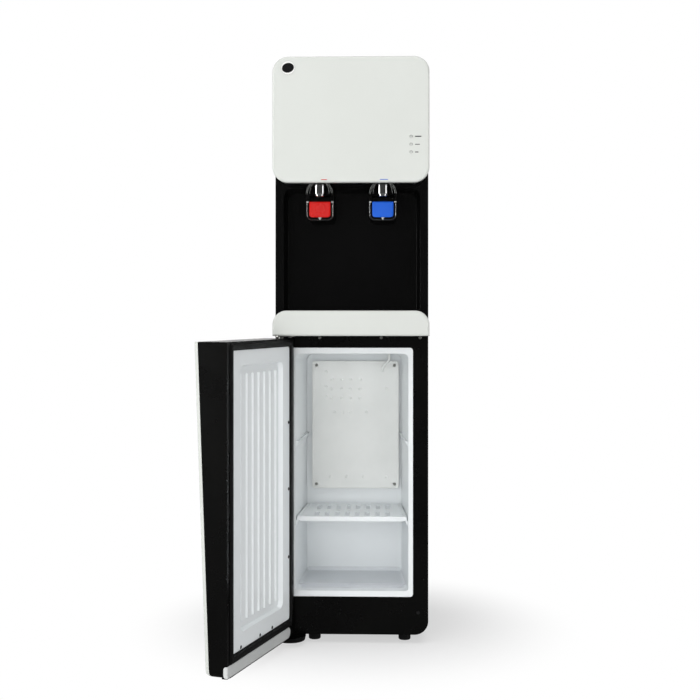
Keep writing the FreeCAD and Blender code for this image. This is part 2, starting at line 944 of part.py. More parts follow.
# ---- Taps ----
def bell(top, foot, wall, x):
    """One arched shell round the nozzle, wider at its foot."""
    z1 = housing_bottom
    z0 = bell_z
    middle = (z0 + z1) / 2 + 2

    def side(inset, rise):
        return [V(x + top - inset, tap_y, z1 - rise), V(x + (top + 2.2 * foot) / 3.2 - inset, tap_y, middle),
                V(x + foot - inset, tap_y, z0)]

    outer = side(0, 0)
    inner = side(wall, crown)
    edges = [Part.Arc(*outer).toShape(), Part.makeLine(outer[2], inner[2]), Part.Arc(*inner).toShape()]
    edges.append(Part.makeLine(inner[0], V(x, tap_y, z1 - crown)))
    edges.append(Part.makeLine(V(x, tap_y, z1 - crown), V(x, tap_y, z1)))
    edges.append(Part.makeLine(V(x, tap_y, z1), outer[0]))
    return turned(Part.Wire(Part.__sortEdges__(edges)), V(x, tap_y, 0))


def tap_body(x):
    """The black tap: arched cheeks beside the nozzle, a body behind, a shank and the paddle's axle."""
    cheeks = bell(bell_top, bell_foot, bell_wall, x).fuse(
        bell(inner_bell_top, inner_bell_foot, inner_bell_wall, x))
    keep = block(x - 30, x + 30, tap_y - bell_cut, tap_back, bell_z, housing_bottom)
    cheeks = cheeks.common(keep)
    reach = bell_foot - 1
    rear = block(x - reach, x + reach, tap_back, front, axle_z + 7, housing_bottom)
    stem = block(x - 16, x + 16, tap_back, front, housing_bottom, housing_bottom + 2 * shank_rise - 2)
    shank = rod(shank_radius, V(x, front, shank_z()), V(x, front + shank_end, shank_z()))
    low = axle_z - axle_radius - 2
    lugs = [block(x + a, x + a + lug_thickness, tap_back, axle_y + 8, low, axle_z + 8)
            for a in (-reach, reach - lug_thickness)]
    pin = rod(axle_radius, V(x - reach + 1, axle_y, axle_z), V(x + reach - 1, axle_y, axle_z))
    body = whole([cheeks, rear, stem, shank, pin] + lugs)
    socket = rod(nozzle_radius + part_gap, V(x, tap_y, 0), V(x, tap_y, housing_bottom - crown))
    return body.cut(socket)


def nozzle(x):
    """The chrome spout with its bored tip."""
    top = housing_bottom - crown
    low = top - nozzle_length
    points = [(nozzle_bore, low), (nozzle_radius - 4.2, low), (nozzle_radius - 3.2, low + 0.8),
              (nozzle_radius - 2.6, low + nozzle_tip), (nozzle_radius - 0.6, low + nozzle_tip),
              (nozzle_radius, low + nozzle_tip + 0.6), (nozzle_radius, top), (0, top), (0, low + 14),
              (nozzle_bore, low + 14)]
    return lathe(points, x, tap_y)


def paddle(x):
    """The push paddle: a barrel on the axle, a web and a plate with a raised rim on three sides."""
    reach = paddle_width / 2
    y0 = paddle_front
    y1 = y0 + paddle_thickness
    low = paddle_top - paddle_height
    wire = frame_wire(x - reach, x + reach, low, paddle_top, paddle_corner, 1.0, on_y(y0))
    plate = slab(wire, V(0, paddle_thickness, 0))
    inner = paddle_corner - paddle_rim
    sunk = frame_wire(x - reach + paddle_rim, x + reach - paddle_rim, low + paddle_rim, paddle_top + 1,
                      inner, 0, on_y(y0 - 1))
    plate = plate.cut(slab(sunk, V(0, 1 + paddle_sink, 0)))
    barrel_half = bell_foot - 1 - lug_thickness - 0.5
    barrel = rod(axle_radius + 2, V(x - barrel_half, axle_y, axle_z), V(x + barrel_half, axle_y, axle_z))
    web = block(x - barrel_half, x + barrel_half, axle_y - 4, y1, paddle_top - 6, axle_z)
    gap = insert_low() - low - paddle_rim
    top = insert_low() - part_gap
    stem = block(x - latch_stem / 2, x + latch_stem / 2, y0 + 0.2, y0 + 3, low + paddle_rim - 1, top)
    bar = block(x - latch_width / 2, x + latch_width / 2, y0 - 0.4, y0 + 3, top - gap / 2, top)
    body = whole([plate, barrel, web, stem, bar])
    return body.cut(rod(axle_radius + running_gap, V(x - half, axle_y, axle_z), V(x + half, axle_y, axle_z)))


def insert_low():
    return paddle_top - 0.4 - insert_height


def paddle_insert(x):
    """The coloured plate on the paddle, bevelled all round."""
    def outline(inset, y):
        return frame_wire(x - insert_width / 2 + inset, x + insert_width / 2 - inset, insert_low() + inset,
                          insert_low() + insert_height - inset, insert_corner - inset / 2, 1.0, on_y(y))

    rear = paddle_front + paddle_sink
    shoulder = rear - insert_depth + insert_raise
    base = slab(outline(0, shoulder), V(0, rear - shoulder, 0))
    crest = Part.makeLoft([outline(0, shoulder), outline(insert_bevel, shoulder - insert_raise)], True, True)
    return whole([base, crest])


# ---- Drip basin, tray and grille ----
def basin_floor():
    return niche_floor + pocket_wall


def basin_back():
    return niche_back - basin_back_gap


def drip_basin():
    """The black housing behind the chin, with the pocket that the drip tray drops into."""
    reach = half - basin_inset
    top = chin_top - basin_top_drop
    near = front_slab(reach, chin_bottom, top, 0, chin_corner - basin_inset, skin_back, front)
    far = front_slab(basin_half, niche_floor + part_gap, top, bay_low_corner, 0, front, basin_back())
    pocket = slab(frame_wire(-pocket_half, pocket_half, skin_back + pocket_wall, basin_back() - 3,
                             pocket_corner, pocket_corner, on_z(basin_floor())), V(0, 0, chin_height))
    return whole([near, far]).cut(pocket)


def pocket_wire(inset, z):
    corner = max(pocket_corner - inset, least_corner)
    return frame_wire(-pocket_half + inset, pocket_half - inset, skin_back + pocket_wall + inset,
                      basin_back() - 3 - inset, corner, corner, on_z(z))


def drip_seat():
    """How far the tray's wall stands in from the pocket, under the flange."""
    return drip_gap + drip_flange


def drip_tray():
    """The lift-out tray: a box with a flange round its rim, and the grille sunk into the flange."""
    low = basin_floor()
    high = low + drip_rise
    flange = grille_thickness + drip_wall
    body = slab(pocket_wire(drip_seat(), low), V(0, 0, drip_rise))
    body = body.fuse(slab(pocket_wire(drip_gap, high - flange), V(0, 0, flange)))
    body = body.cut(slab(pocket_wire(drip_seat(), high - grille_thickness), V(0, 0, grille_thickness + 1)))
    body = body.cut(slab(pocket_wire(drip_seat() + drip_wall, low + drip_wall), V(0, 0, drip_rise)))
    return body.removeSplitter()


def drip_grille():
    """The slotted grating on the tray."""
    z = basin_floor() + drip_rise - grille_thickness
    body = slab(pocket_wire(drip_seat() + part_gap, z), V(0, 0, grille_thickness))
    y0 = skin_back + pocket_wall + drip_seat() + grille_border
    y1 = basin_back() - 3 - drip_seat() - grille_border
    left = -(grille_slots - 1) / 2 * grille_pitch
    slots = [block(left + i * grille_pitch - grille_slot / 2, left + i * grille_pitch + grille_slot / 2,
                   y0, y1, z - 1, z + grille_thickness + 1) for i in range(grille_slots)]
    return body.cut(Part.makeCompound(slots))


# ---- Tanks, tubes and drain ----
def tank_top():
    return neck_bottom() - 20


def cold_tank():
    """The stainless cold tank, open by a neck under the bottle collar."""
    top = tank_top()
    low = top - tank_height
    rise = neck_bottom() - part_gap
    t = tank_wall
    points = [(0, low), (tank_radius - 12, low), (tank_radius, low + 10), (tank_radius, top - 10),
              (tank_radius - 12, top), (tank_neck + t, top), (tank_neck + t, rise), (tank_neck, rise),
              (tank_neck, top - t), (tank_radius - 12, top - t), (tank_radius - t, top - 10),
              (tank_radius - t, low + 10), (tank_radius - 12, low + t), (0, low + t)]
    return lathe(points, 0, bottle_y)


def jacket_radius():
    return tank_radius + part_gap + jacket_thickness


def cold_tank_jacket():
    """The foam jacket round the cold tank."""
    top = tank_top()
    low = top - tank_height
    inner = tank_radius + part_gap
    points = [(0, low - jacket_floor), (jacket_radius(), low - jacket_floor), (jacket_radius(), top),
              (inner, top), (inner, low - part_gap), (0, low - part_gap)]
    return lathe(points, 0, bottle_y)


def hot_tank_low():
    return deck_top + hot_stand


def hot_tank():
    """The stainless hot tank with domed ends, on a ring stand."""
    low = hot_tank_low()
    high = low + hot_height
    ring = hot_radius - 8
    points = [(0, low), (ring - 3, low), (ring - 3, deck_top), (ring, deck_top), (ring, low),
              (hot_radius, low + 8), (hot_radius, high - 12), (hot_radius - 14, high - 3), (0, high)]
    return lathe(points, hot_x, hot_y)


def water_tubes():
    """The silicone tubes from the tanks to the taps and to the drain."""
    z = shank_z()
    start = front + shank_end + 0.2
    side = math.sqrt(jacket_radius() ** 2 - (tap_x - tube_radius) ** 2)
    cold = rod(tube_radius, V(tap_x, start, z), V(tap_x, bottle_y - side - 0.4, z))
    lane = niche_back + bay_wall + tube_radius + 3
    turn_z = z - hot_tube_drop
    entry = hot_y - hot_tube_entry
    hot = bent_tube([V(-tap_x, start, z), V(-tap_x, lane, z), V(-tap_x, lane, turn_z),
                     V(-tap_x, entry, turn_z - 8), V(-tap_x, entry, hot_tank_low() + hot_height + 0.4)],
                    9.0, tube_radius)
    zd = drain_z()
    drain_end = back + rear_cover_thickness - spout_root - part_gap
    drain = rod(tube_radius, V(hot_x, hot_y + hot_radius + part_gap, zd), V(hot_x, drain_end, zd))
    return Part.makeCompound([cold, hot, drain])


def drain_z():
    return deck_top + drain_rise


def spun_y(points, x, z):
    """A solid turned about a level axis that runs front to back, from (radius, depth) corners."""
    corners = [V(x + r, y, z) for r, y in points]
    corners.append(corners[0])
    return turned(Part.makePolygon(corners), V(x, 0, z), V(0, 1, 0))


def drain_spout():
    """The drain outlet at the back, bored through to its tube."""
    y = back + rear_cover_thickness
    lip = y + spout_flange_thickness
    tip = y + spout_length
    points = [(spout_bore, y - spout_root), (spout_radius, y - spout_root), (spout_radius, y),
              (spout_flange, y), (spout_flange, lip), (spout_radius, lip), (spout_radius, tip),
              (spout_bore, tip)]
    return spun_y(points, hot_x, drain_z())


def drain_cap():
    """The round cap on the drain outlet."""
    y = back + rear_cover_thickness + spout_flange_thickness + part_gap
    end = back + rear_cover_thickness + spout_length + part_gap
    inner = spout_radius + running_gap
    outer = spout_radius + cap_wall
    points = [(inner, y), (outer, y), (outer, end + cap_wall - 1), (outer - 1, end + cap_wall),
              (0, end + cap_wall), (0, end), (inner, end)]
    cap = spun_y(points, hot_x, drain_z())
    z = drain_z()
    grip = block(hot_x - 1.2, hot_x + 1.2, end, end + cap_wall + cap_grip, z - outer + 1, z + outer - 1)
    return whole([cap, grip])


# ---- Machine bay ----
def compressor_centre():
    return V(compressor_x, (foam_rear + sheet + back) / 2, 0)


def compressor():
    """The sealed compressor: two pressed halves with a weld seam, on a bolted foot plate."""
    c = compressor_centre()
    low = base_plate_top + compressor_rise + foot_plate_thickness - 4
    wide = compressor_width / 2
    deep = compressor_depth / 2
    body = slab(frame_wire(c.x - wide, c.x + wide, c.y - deep, c.y + deep, deep - 1, deep - 1, on_z(low)),
                V(0, 0, compressor_height))
    ends = edges_where(body, lambda e: e.BoundBox.ZMax - e.BoundBox.ZMin < 1e-3)
    body = body.makeFillet(compressor_round, ends)
    seam_x = wide + seam_reach
    seam_y = deep + seam_reach
    seam = slab(frame_wire(c.x - seam_x, c.x + seam_x, c.y - seam_y, c.y + seam_y, seam_y - 1, seam_y - 1,
                           on_z(low + compressor_height * seam_share)), V(0, 0, seam_thickness))
    foot_x = wide + foot_plate_reach
    foot_low = base_plate_top + compressor_rise
    plate = block(c.x - foot_x, c.x + foot_x, c.y - deep + 8, c.y + deep - 8,
                  foot_low, foot_low + foot_plate_thickness)
    body = whole([body, seam, plate])
    for x, y in compressor_bolts():
        body = body.cut(rod(bolt_radius + 0.2, V(x, y, foot_low - 1), V(x, y, low + 12)))
    return body


def compressor_bolts():
    c = compressor_centre()
    reach = compressor_width / 2 + bolt_reach
    depth = compressor_depth / 2 - bolt_inset
    return [(c.x + a * reach, c.y + b * depth) for a in (-1, 1) for b in (-1, 1)]


def compressor_grommets():
    """Four rubber mounts with their studs."""
    group = []
    z0 = base_plate_top
    z1 = z0 + compressor_rise
    for x, y in compressor_bolts():
        points = [(0, z0), (grommet_radius, z0), (grommet_radius - 2, z0 + compressor_rise / 2),
                  (grommet_radius, z1), (bolt_radius, z1), (bolt_radius, z1 + bolt_rise), (0, z1 + bolt_rise)]
        group.append(lathe(points, x, y))
    return Part.makeCompound(group)


def relay_cover():
    """The plastic cover over the compressor's terminals."""
    c = compressor_centre()
    low = base_plate_top + compressor_rise + relay_rise
    x0 = c.x + compressor_width / 2 + 0.4
    x1 = x0 + relay_length
    cover = block(x0, x1, c.y - relay_width / 2, c.y + relay_width / 2, low, low + relay_height)
    standing = edges_where(cover, lambda e: e.BoundBox.XMin > x1 - 0.1)
    return cover.makeFillet(relay_corner, standing)


def condenser_y():
    return back + condenser_tube + condenser_wire * 2 + 0.6


def condenser():
    """The serpentine tube with wires welded across both sides, on two mounting strips."""
    reach = condenser_width / 2
    bend = condenser_pitch / 2
    y = condenser_y()
    points = []
    for run in range(condenser_runs):
        z = condenser_low + run * condenser_pitch
        ends = [V(-reach, y, z), V(reach, y, z)]
        points += ends if run % 2 == 0 else ends[::-1]
    tube = bent_tube(points, bend - 0.05, condenser_tube)
    low = condenser_low - 8
    high = condenser_low + (condenser_runs - 1) * condenser_pitch + 8
    first = -(condenser_wires - 1) / 2
    step = (condenser_width - 2 * bend - 16) / (condenser_wires - 1)
    wires = []
    for i in range(condenser_wires):
        x = (first + i) * step
        for side in (-1, 1):
            wy = y + side * (condenser_tube + condenser_wire * 0.8)
            wires.append(rod(condenser_wire, V(x, wy, low), V(x, wy, high)))
    strip = block(half - strip_width, half, back, back + 1.5, low + 30, high - 30)
    strips = [strip, mirrored(strip)]
    arms = []
    for z in (condenser_low + condenser_pitch, condenser_low + (condenser_runs - 2) * condenser_pitch):
        for side in (-1, 1):
            x0 = side * (reach - bend - 4)
            x1 = side * (half - 2)
            arms.append(block(min(x0, x1), max(x0, x1), back + 0.2, y, z - 4, z + 4))
    return whole([tube] + wires + strips + arms)


def refrigerant_pipes():
    """The copper lines between compressor, condenser and foam, with the filter drier."""
    c = compressor_centre()
    top = base_plate_top + compressor_rise + foot_plate_thickness - 4 + compressor_height
    end = -condenser_width / 2 - 0.3
    lane = end - pipe_lane
    high = condenser_low + (condenser_runs - 1) * condenser_pitch
    y = condenser_y()
    x = c.x - discharge_offset
    over = top + discharge_rise
    discharge = bent_tube([V(x, c.y, top + 0.3), V(x, c.y, over), V(lane, c.y, over), V(lane, c.y, high),
                           V(lane, y, high), V(end, y, high)], pipe_bend, condenser_tube)
    near = back - 24
    liquid = bent_tube([V(end, y, condenser_low), V(lane, y, condenser_low), V(lane, near, condenser_low),
                        V(lane, near, drier_top - 1)], pipe_bend, condenser_tube)
    low = drier_top - drier_length
    drier = lathe([(0, low), (condenser_tube, low), (drier_radius, low + 6), (drier_radius, drier_top - 6),
                   (condenser_tube, drier_top), (0, drier_top)], lane, near)
    capillary = bent_tube([V(lane, near, low + 1), V(lane, near, low - 16),
                           V(lane, foam_rear + sheet + 0.4, low - 16)], pipe_bend, capillary_radius)
    x = c.x + suction_offset
    over = top + suction_rise
    suction = bent_tube([V(x, c.y, top + 0.3), V(x, c.y, over), V(x, foam_rear + sheet + 0.4, over)],
                        12.0, suction_radius)
    return Part.makeCompound([discharge, whole([liquid, drier, capillary]), suction])


# ---- Back ----
def rear_cover():
    """The steel cover behind the tanks with its vent slots, switch holes and drain hole."""
    y = back
    reach = half - 3
    plate = front_slab(reach, deck_top + 2, cap_bottom - 4, 4, 4, y, y + rear_cover_thickness)
    cuts = []
    for column in (-1, 1):
        for row in range(vent_rows):
            z = deck_top + vent_rise + row * vent_pitch
            x = column * (vent_length + vent_column_gap) / 2
            cuts.append(block(x - vent_length / 2, x + vent_length / 2, y - 1, y + 3, z, z + vent_slot))
    for x in switch_x:
        cuts.append(block(x - barrel_half - 0.2, x + barrel_half + 0.2, y - 1, y + 3,
                          switch_rise - barrel_rise - 0.2, switch_rise + barrel_rise + 0.2))
    cuts.append(rod(spout_radius + 0.2, V(hot_x, y - 1, drain_z()), V(hot_x, y + 3, drain_z())))
    return plate.cut(Part.makeCompound(cuts))


def switch_bodies():
    """The housings of the two rocker switches."""
    y = back + rear_cover_thickness
    group = []
    for x in switch_x:
        bezel = block(x - bezel_half, x + bezel_half, y, y + bezel_thickness,
                      switch_rise - bezel_rise, switch_rise + bezel_rise)
        barrel = block(x - barrel_half, x + barrel_half, y - barrel_length, y,
                       switch_rise - barrel_rise, switch_rise + barrel_rise)
        reach = key_half + key_gap
        room = block(x - reach, x + reach, y - key_room_depth, y + bezel_thickness + 1,
                     switch_rise - key_room_rise, switch_rise + key_room_rise)
        group.append(whole([bezel, barrel]).cut(room).cut(key_stud(x, running_gap)))
    return Part.makeCompound(group)


def key_pivot():
    return back + rear_cover_thickness - key_pivot_depth


def key_stud(x, grow):
    """The studs that a rocker key turns on, grown by a gap."""
    reach = key_half + key_stud_reach + grow
    y = key_pivot()
    return rod(key_stud_radius + grow, V(x - reach, y, switch_rise), V(x + reach, y, switch_rise))


def rocker(x):
    """A rocker key on its studs, pressed in at one end."""
    pivot = key_pivot()
    z = switch_rise
    side = x - key_half
    profile = [V(side, pivot - 1.5, z - 4.0), V(side, pivot + 8.0, z - 5.6), V(side, pivot + 6.6, z),
               V(side, pivot + 8.0, z + 5.6), V(side, pivot - 1.5, z + 4.0)]
    profile.append(profile[0])
    key = whole([slab(Part.makePolygon(profile), V(2 * key_half, 0, 0)), key_stud(x, 0)])
    key.rotate(V(x, pivot, z), V(1, 0, 0), -rocker_tilt)
    return key


def case_screws():
    """The small screws of the rear cover, the fascia and the top rail."""
    group = []
    for x in (-half + rear_screw_inset, half - rear_screw_inset):
        for z in (deck_top + rear_screw_low, (deck_top + cap_bottom) / 2, cap_bottom - rear_screw_high):
            y = back + rear_cover_thickness
            group.append(rod(screw_radius, V(x, y, z), V(x, y + screw_head, z)))
    for x, z in fascia_screws():
        group.append(rod(screw_radius, V(x, front, z), V(x, front + frame_thickness, z)))
    for x in rail_screws:
        z = chin_bottom - rail_screw_drop
        group.append(rod(screw_radius, V(x, front - screw_head, z), V(x, front, z)))
    return Part.makeCompound(group)


# ---- Hinges ----
def lower_hinge():
    """The D-shaped hinge plate under the base, with its boss and pin."""
    top = base_bottom
    low = top - hinge_plate_thickness
    corner = (hinge_plate_right - hinge_plate_left) / 2 - 1
    wire = frame_wire(hinge_plate_left, hinge_plate_right, hinge_plate_front, front + hinge_plate_root,
                      corner, 4.0, on_z(low))
    plate = slab(wire, V(0, 0, hinge_plate_thickness))
    rim = edges_where(plate, lambda e: abs(e.BoundBox.ZMax - low) < 1e-3)
    plate = plate.makeFillet(hinge_plate_round, rim)
    boss = rod(bush_radius - 0.5, V(hinge_x, hinge_y, top - 1), V(hinge_x, hinge_y, door_bottom - part_gap))
    pin = rod(pin_radius, V(hinge_x, hinge_y, top), V(hinge_x, hinge_y, door_bottom + bush_length - 2))
    return whole([plate, boss, pin])


def upper_hinge():
    """The steel hinge plate under the chin, with its pin and two screws."""
    z1 = chin_bottom
    z0 = z1 - upper_plate_thickness
    wire = frame_wire(hinge_x - upper_plate_edge, hinge_x + upper_plate_run, hinge_y - upper_plate_edge, front,
                      upper_plate_corner, 0.5, on_z(z0))
    plate = slab(wire, V(0, 0, upper_plate_thickness))
    pin = rod(pin_radius, V(hinge_x, hinge_y, door_top - bush_length + 2), V(hinge_x, hinge_y, z0))
    collar = rod(bush_radius, V(hinge_x, hinge_y, door_top + part_gap), V(hinge_x, hinge_y, z0))
    x = hinge_x + upper_screw_run
    heads = [rod(screw_radius, V(x, hinge_y + step, z0 - upper_screw_head), V(x, hinge_y + step, z0))
             for step in upper_screw_steps]
    return whole([plate, pin, collar] + heads)


# ---- Door, drawn closed and then swung open ----
def door_side(offset, inner_y):
    """The door's wedge seen from its side, set back from the front by an offset."""
    high = V(0, door_back - door_depth_top + offset, door_top)
    low = V(0, door_back - door_depth_bottom + offset, door_bottom)
    corners = [V(0, inner_y, door_top), high, low, V(0, inner_y, door_bottom)]
    return rounded(corners, [0, 0, door_nose - offset, 0])


def wedge(offset, inner_y):
    wire = door_side(offset, inner_y)
    wire.translate(V(-half, 0, 0))
    return slab(wire, V(2 * half, 0, 0))


def door_outline(inset, y0, y1):
    low = door_low_corner - inset
    high = max(door_top_corner - inset, 0.5)
    return front_slab(door_half - inset, door_bottom + inset, door_top - inset, low, high, y0, y1)


def door_shell():
    """The black door frame: four walls and the band that carries the gasket."""
    y0 = door_back - door_depth_top - 1
    outer = wedge(door_skin, door_back).common(door_outline(0, y0, door_back + 1))
    room = door_outline(door_wall, y0, door_back - door_wall)
    window = front_slab(window_half, window_bottom, window_top, window_corner, window_corner, y0,
                        door_back + 1)
    bar_seat = bar_shape(0.1)
    nub = block(half - 24, half - 14, hinge_y + 6, hinge_y + 16, door_bottom - 3.2, door_bottom + 1)
    body = outer.cut(room).cut(window).cut(bar_seat)
    body = whole([body, nub])
    for z0, z1 in ((door_bottom - 1, door_bottom + bush_length), (door_top - bush_length, door_top + 1)):
        body = body.cut(rod(bush_radius, V(hinge_x, hinge_y, z0), V(hinge_x, hinge_y, z1)))
    return body


def door_front_panel():
    """The white face of the door, wrapped a little under its lower edge."""
    outer = wedge(0, door_back - door_skin)
    inner = wedge(door_skin, door_back + 1)
    outline = door_outline(0, door_back - door_depth_top - 1, door_back)
    skin = outer.cut(inner).common(outline)
    solids = sorted(skin.Solids, key=lambda s: s.Volume)
    return solids[-1]


def recess(grow):
    """The hollow in the door's inner face, grown outwards by a wall."""
    corner = recess_corner + grow
    foot = corner - recess_draft
    return drafted(recess_half + grow, recess_bottom - grow, recess_top + grow, corner, corner,
                   door_back + 0.1,
                   recess_half - recess_draft + grow, recess_bottom + recess_draft - grow,
                   recess_top - recess_draft + grow, foot, foot, door_back - recess_depth - grow)


def door_liner():
    """The white door liner: a flat border, a hollow panel with rounded corners and standing ribs in it."""
    y0 = door_back - door_liner_wall
    plate = front_slab(window_half, window_bottom, window_top, window_corner, window_corner, y0, door_back)
    keep = block(-half, half, door_back - 2 * recess_depth, door_back, 0, panel_top)
    shell = recess(door_liner_wall).common(keep)
    body = whole([plate, shell]).cut(recess(0))
    floor_y = door_back - recess_depth
    low = recess_bottom + rib_margin
    high = recess_top - rib_margin
    left = -(door_ribs - 1) / 2 * rib_pitch
    ribs = []
    for i in range(door_ribs):
        x = left + i * rib_pitch
        root = floor_y - 0.2
        crest = floor_y + rib_height
        section = [V(x - rib_width / 2, root, low), V(x + rib_width / 2, root, low),
                   V(x + rib_crest / 2, crest, low), V(x - rib_crest / 2, crest, low)]
        section.append(section[0])
        ribs.append(slab(Part.makePolygon(section), V(0, 0, high - low)))
    return whole([body] + ribs)


def gasket_ring(inset, y0, y1):
    outer_half = door_half - gasket_outer - inset
    low = door_bottom + gasket_low + inset
    high = door_top - gasket_high - inset
    outer = front_slab(outer_half, low, high, 4, 4, y0, y1)
    inner = front_slab(window_half + 0.3 + inset, window_bottom - 0.3 - inset, window_top + 0.3 + inset, 4, 4,
                       y0 - 1, y1 + 1)
    return outer.cut(inner)


def door_gasket():
    """The black gasket: a flat foot with a narrower bead on it."""
    foot = gasket_ring(0, door_back, door_back + 1.4)
    bead = gasket_ring(2.0, door_back + 1.4, door_back + gasket_height)
    return whole([foot, bead])


def bar_shape(grow):
    """The bar's form, which wraps round the free corner of the door, grown by a gap."""
    low = door_bottom + bar_rise - grow
    high = low + bar_height + 2 * grow
    left = -window_half - 2 - grow
    right = door_half + bar_proud
    deep = door_back - bar_sink - grow
    shallow = door_back + bar_proud + 0.4
    end = bar_height / 2 - 0.5
    corners = [V(left, deep, low), V(right, deep, low), V(right, deep, high), V(left, deep, high)]
    flat = slab(rounded(corners, [end, 0, 0, end]), V(0, shallow - deep, 0))
    wrap_y = door_back - bar_wrap - grow
    wrap_x = door_half - bar_sink - grow
    corners = [V(wrap_x, wrap_y, low), V(wrap_x, shallow, low),
               V(wrap_x, shallow, high), V(wrap_x, wrap_y, high)]
    wrap = slab(rounded(corners, [5.0, 0, 0, 5.0]), V(right - wrap_x, 0, 0))
    body = whole([flat, wrap])
    corner = edges_where(body, lambda e: abs(e.CenterOfMass.x - right) < 1e-3
                         and abs(e.CenterOfMass.y - shallow) < 1e-3)
    return body.makeFillet(1.2, corner)


def door_lower_bar():
    """The pale bar below the gasket."""
    return bar_shape(0)


def door_foam():
    """The foam that fills the door."""
    y0 = door_back - door_depth_top - 1
    body = wedge(door_skin + part_gap, door_back - door_wall - part_gap)
    body = body.common(door_outline(door_wall + part_gap, y0, door_back))
    body = body.cut(recess(door_liner_wall + part_gap))
    for z0, z1 in ((door_bottom, door_bottom + bush_length + 1), (door_top - bush_length - 1, door_top)):
        body = body.cut(rod(bush_radius + part_gap, V(hinge_x, hinge_y, z0), V(hinge_x, hinge_y, z1)))
    return body


def door_bushes():
    """The two plastic bushes that turn on the hinge pins."""
    group = []
    spans = ((door_bottom, door_bottom + bush_length, -1), (door_top - bush_length, door_top, 1))
    for z0, z1, way in spans:
        bush = rod(bush_radius, V(hinge_x, hinge_y, z0), V(hinge_x, hinge_y, z1))
        hole0 = z0 - 1 if way < 0 else z0 + 1.5
        hole1 = z1 - 1.5 if way < 0 else z1 + 1
        hole = rod(pin_radius + running_gap, V(hinge_x, hinge_y, hole0), V(hinge_x, hinge_y, hole1))
        group.append(bush.cut(hole))
    return Part.makeCompound(group)


def door_screws():
    """The small black screws at the hinge side and the foot of the door liner."""
    places = [(liner_screw_inset - window_half, door_bottom + rise) for rise in hinge_side_screws]
    places += [(x, window_bottom + liner_screw_inset) for x in foot_screws]
    return Part.makeCompound([rod(screw_radius, V(x, door_back, z), V(x, door_back + screw_head, z))
                              for x, z in places])


def opened(shape):
    turned_shape = shape.copy()
    turned_shape.rotate(V(hinge_x, hinge_y, 0), V(0, 0, 1), -door_open_angle)
    return turned_shape


pieces = {
    "side_panel_left": lambda: mirrored(side_panel()),
    "side_panel_right": side_panel,
    "base_tub": base_tub,
    "base_plate": base_plate,
    "left_foot": lambda: levelling_foot(left_foot_x),
    "right_foot": lambda: levelling_foot(right_foot_x),
    "cord_gland": cord_gland,
    "front_frame": front_frame,
    "fridge_liner": fridge_liner,
    "cabinet_foam": cabinet_foam,
    "partition": partition,
    "evaporator_plate": evaporator_plate,
    "evaporator_screws": evaporator_screws,
    "shelf": shelf,
    "fridge_tray": fridge_tray,
    "bay_moulding": bay_moulding,
    "front_panel": front_panel,
    "badge_disc": badge_disc,
    "indicator_lenses": indicator_lenses,
    "chin_panel": chin_panel,
    "upper_housing": upper_housing,
    "top_cover": top_cover,
    "bottle_collar": bottle_collar,
    "hot_tap_body": lambda: tap_body(-tap_x),
    "cold_tap_body": lambda: tap_body(tap_x),
    "hot_nozzle": lambda: nozzle(-tap_x),
    "cold_nozzle": lambda: nozzle(tap_x),
    "hot_paddle": lambda: paddle(-tap_x),
    "cold_paddle": lambda: paddle(tap_x),
    "hot_insert": lambda: paddle_insert(-tap_x),
    "cold_insert": lambda: paddle_insert(tap_x),
    "drip_basin": drip_basin,
    "drip_tray": drip_tray,
    "drip_grille": drip_grille,
    "cold_tank": cold_tank,
    "cold_tank_jacket": cold_tank_jacket,
    "hot_tank": hot_tank,
    "water_tubes": water_tubes,
    "drain_spout": drain_spout,
    "drain_cap": drain_cap,
    "compressor": compressor,
    "compressor_grommets": compressor_grommets,
    "relay_cover": relay_cover,
    "condenser": condenser,
    "refrigerant_pipes": refrigerant_pipes,
    "rear_cover": rear_cover,
    "switch_bodies": switch_bodies,
    "hot_switch": lambda: rocker(switch_x[0]),
    "cold_switch": lambda: rocker(switch_x[1]),
    "case_screws": case_screws,
    "lower_hinge": lower_hinge,
    "upper_hinge": upper_hinge,
    "door_shell": lambda: opened(door_shell()),
    "door_front_panel": lambda: opened(door_front_panel()),
    "door_liner": lambda: opened(door_liner()),
    "door_gasket": lambda: opened(door_gasket()),
    "door_lower_bar": lambda: opened(door_lower_bar()),
    "door_foam": lambda: opened(door_foam()),
    "door_bushes": lambda: opened(door_bushes()),
    "door_screws": lambda: opened(door_screws()),
}

os.makedirs("parts", exist_ok=True)
for name, make in pieces.items():
    shape = make()
    shape.exportStep("parts/" + name + ".step")
    print(name, len(shape.Solids), "solids", round(shape.Volume), "mm3", "valid", shape.isValid())
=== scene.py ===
# %% [markdown]
# A tall water dispenser with two lever taps and a small refrigerator below, dressed for a studio picture.
# The imported CAD model gives every main shape, in metres, so this lesson starts by loading it. Everything
# that follows either colours those shapes or adds small pieces that sit on them.

# %% Load the imported model
import json
import math

import bmesh
import bpy
from mathutils import Matrix, Vector


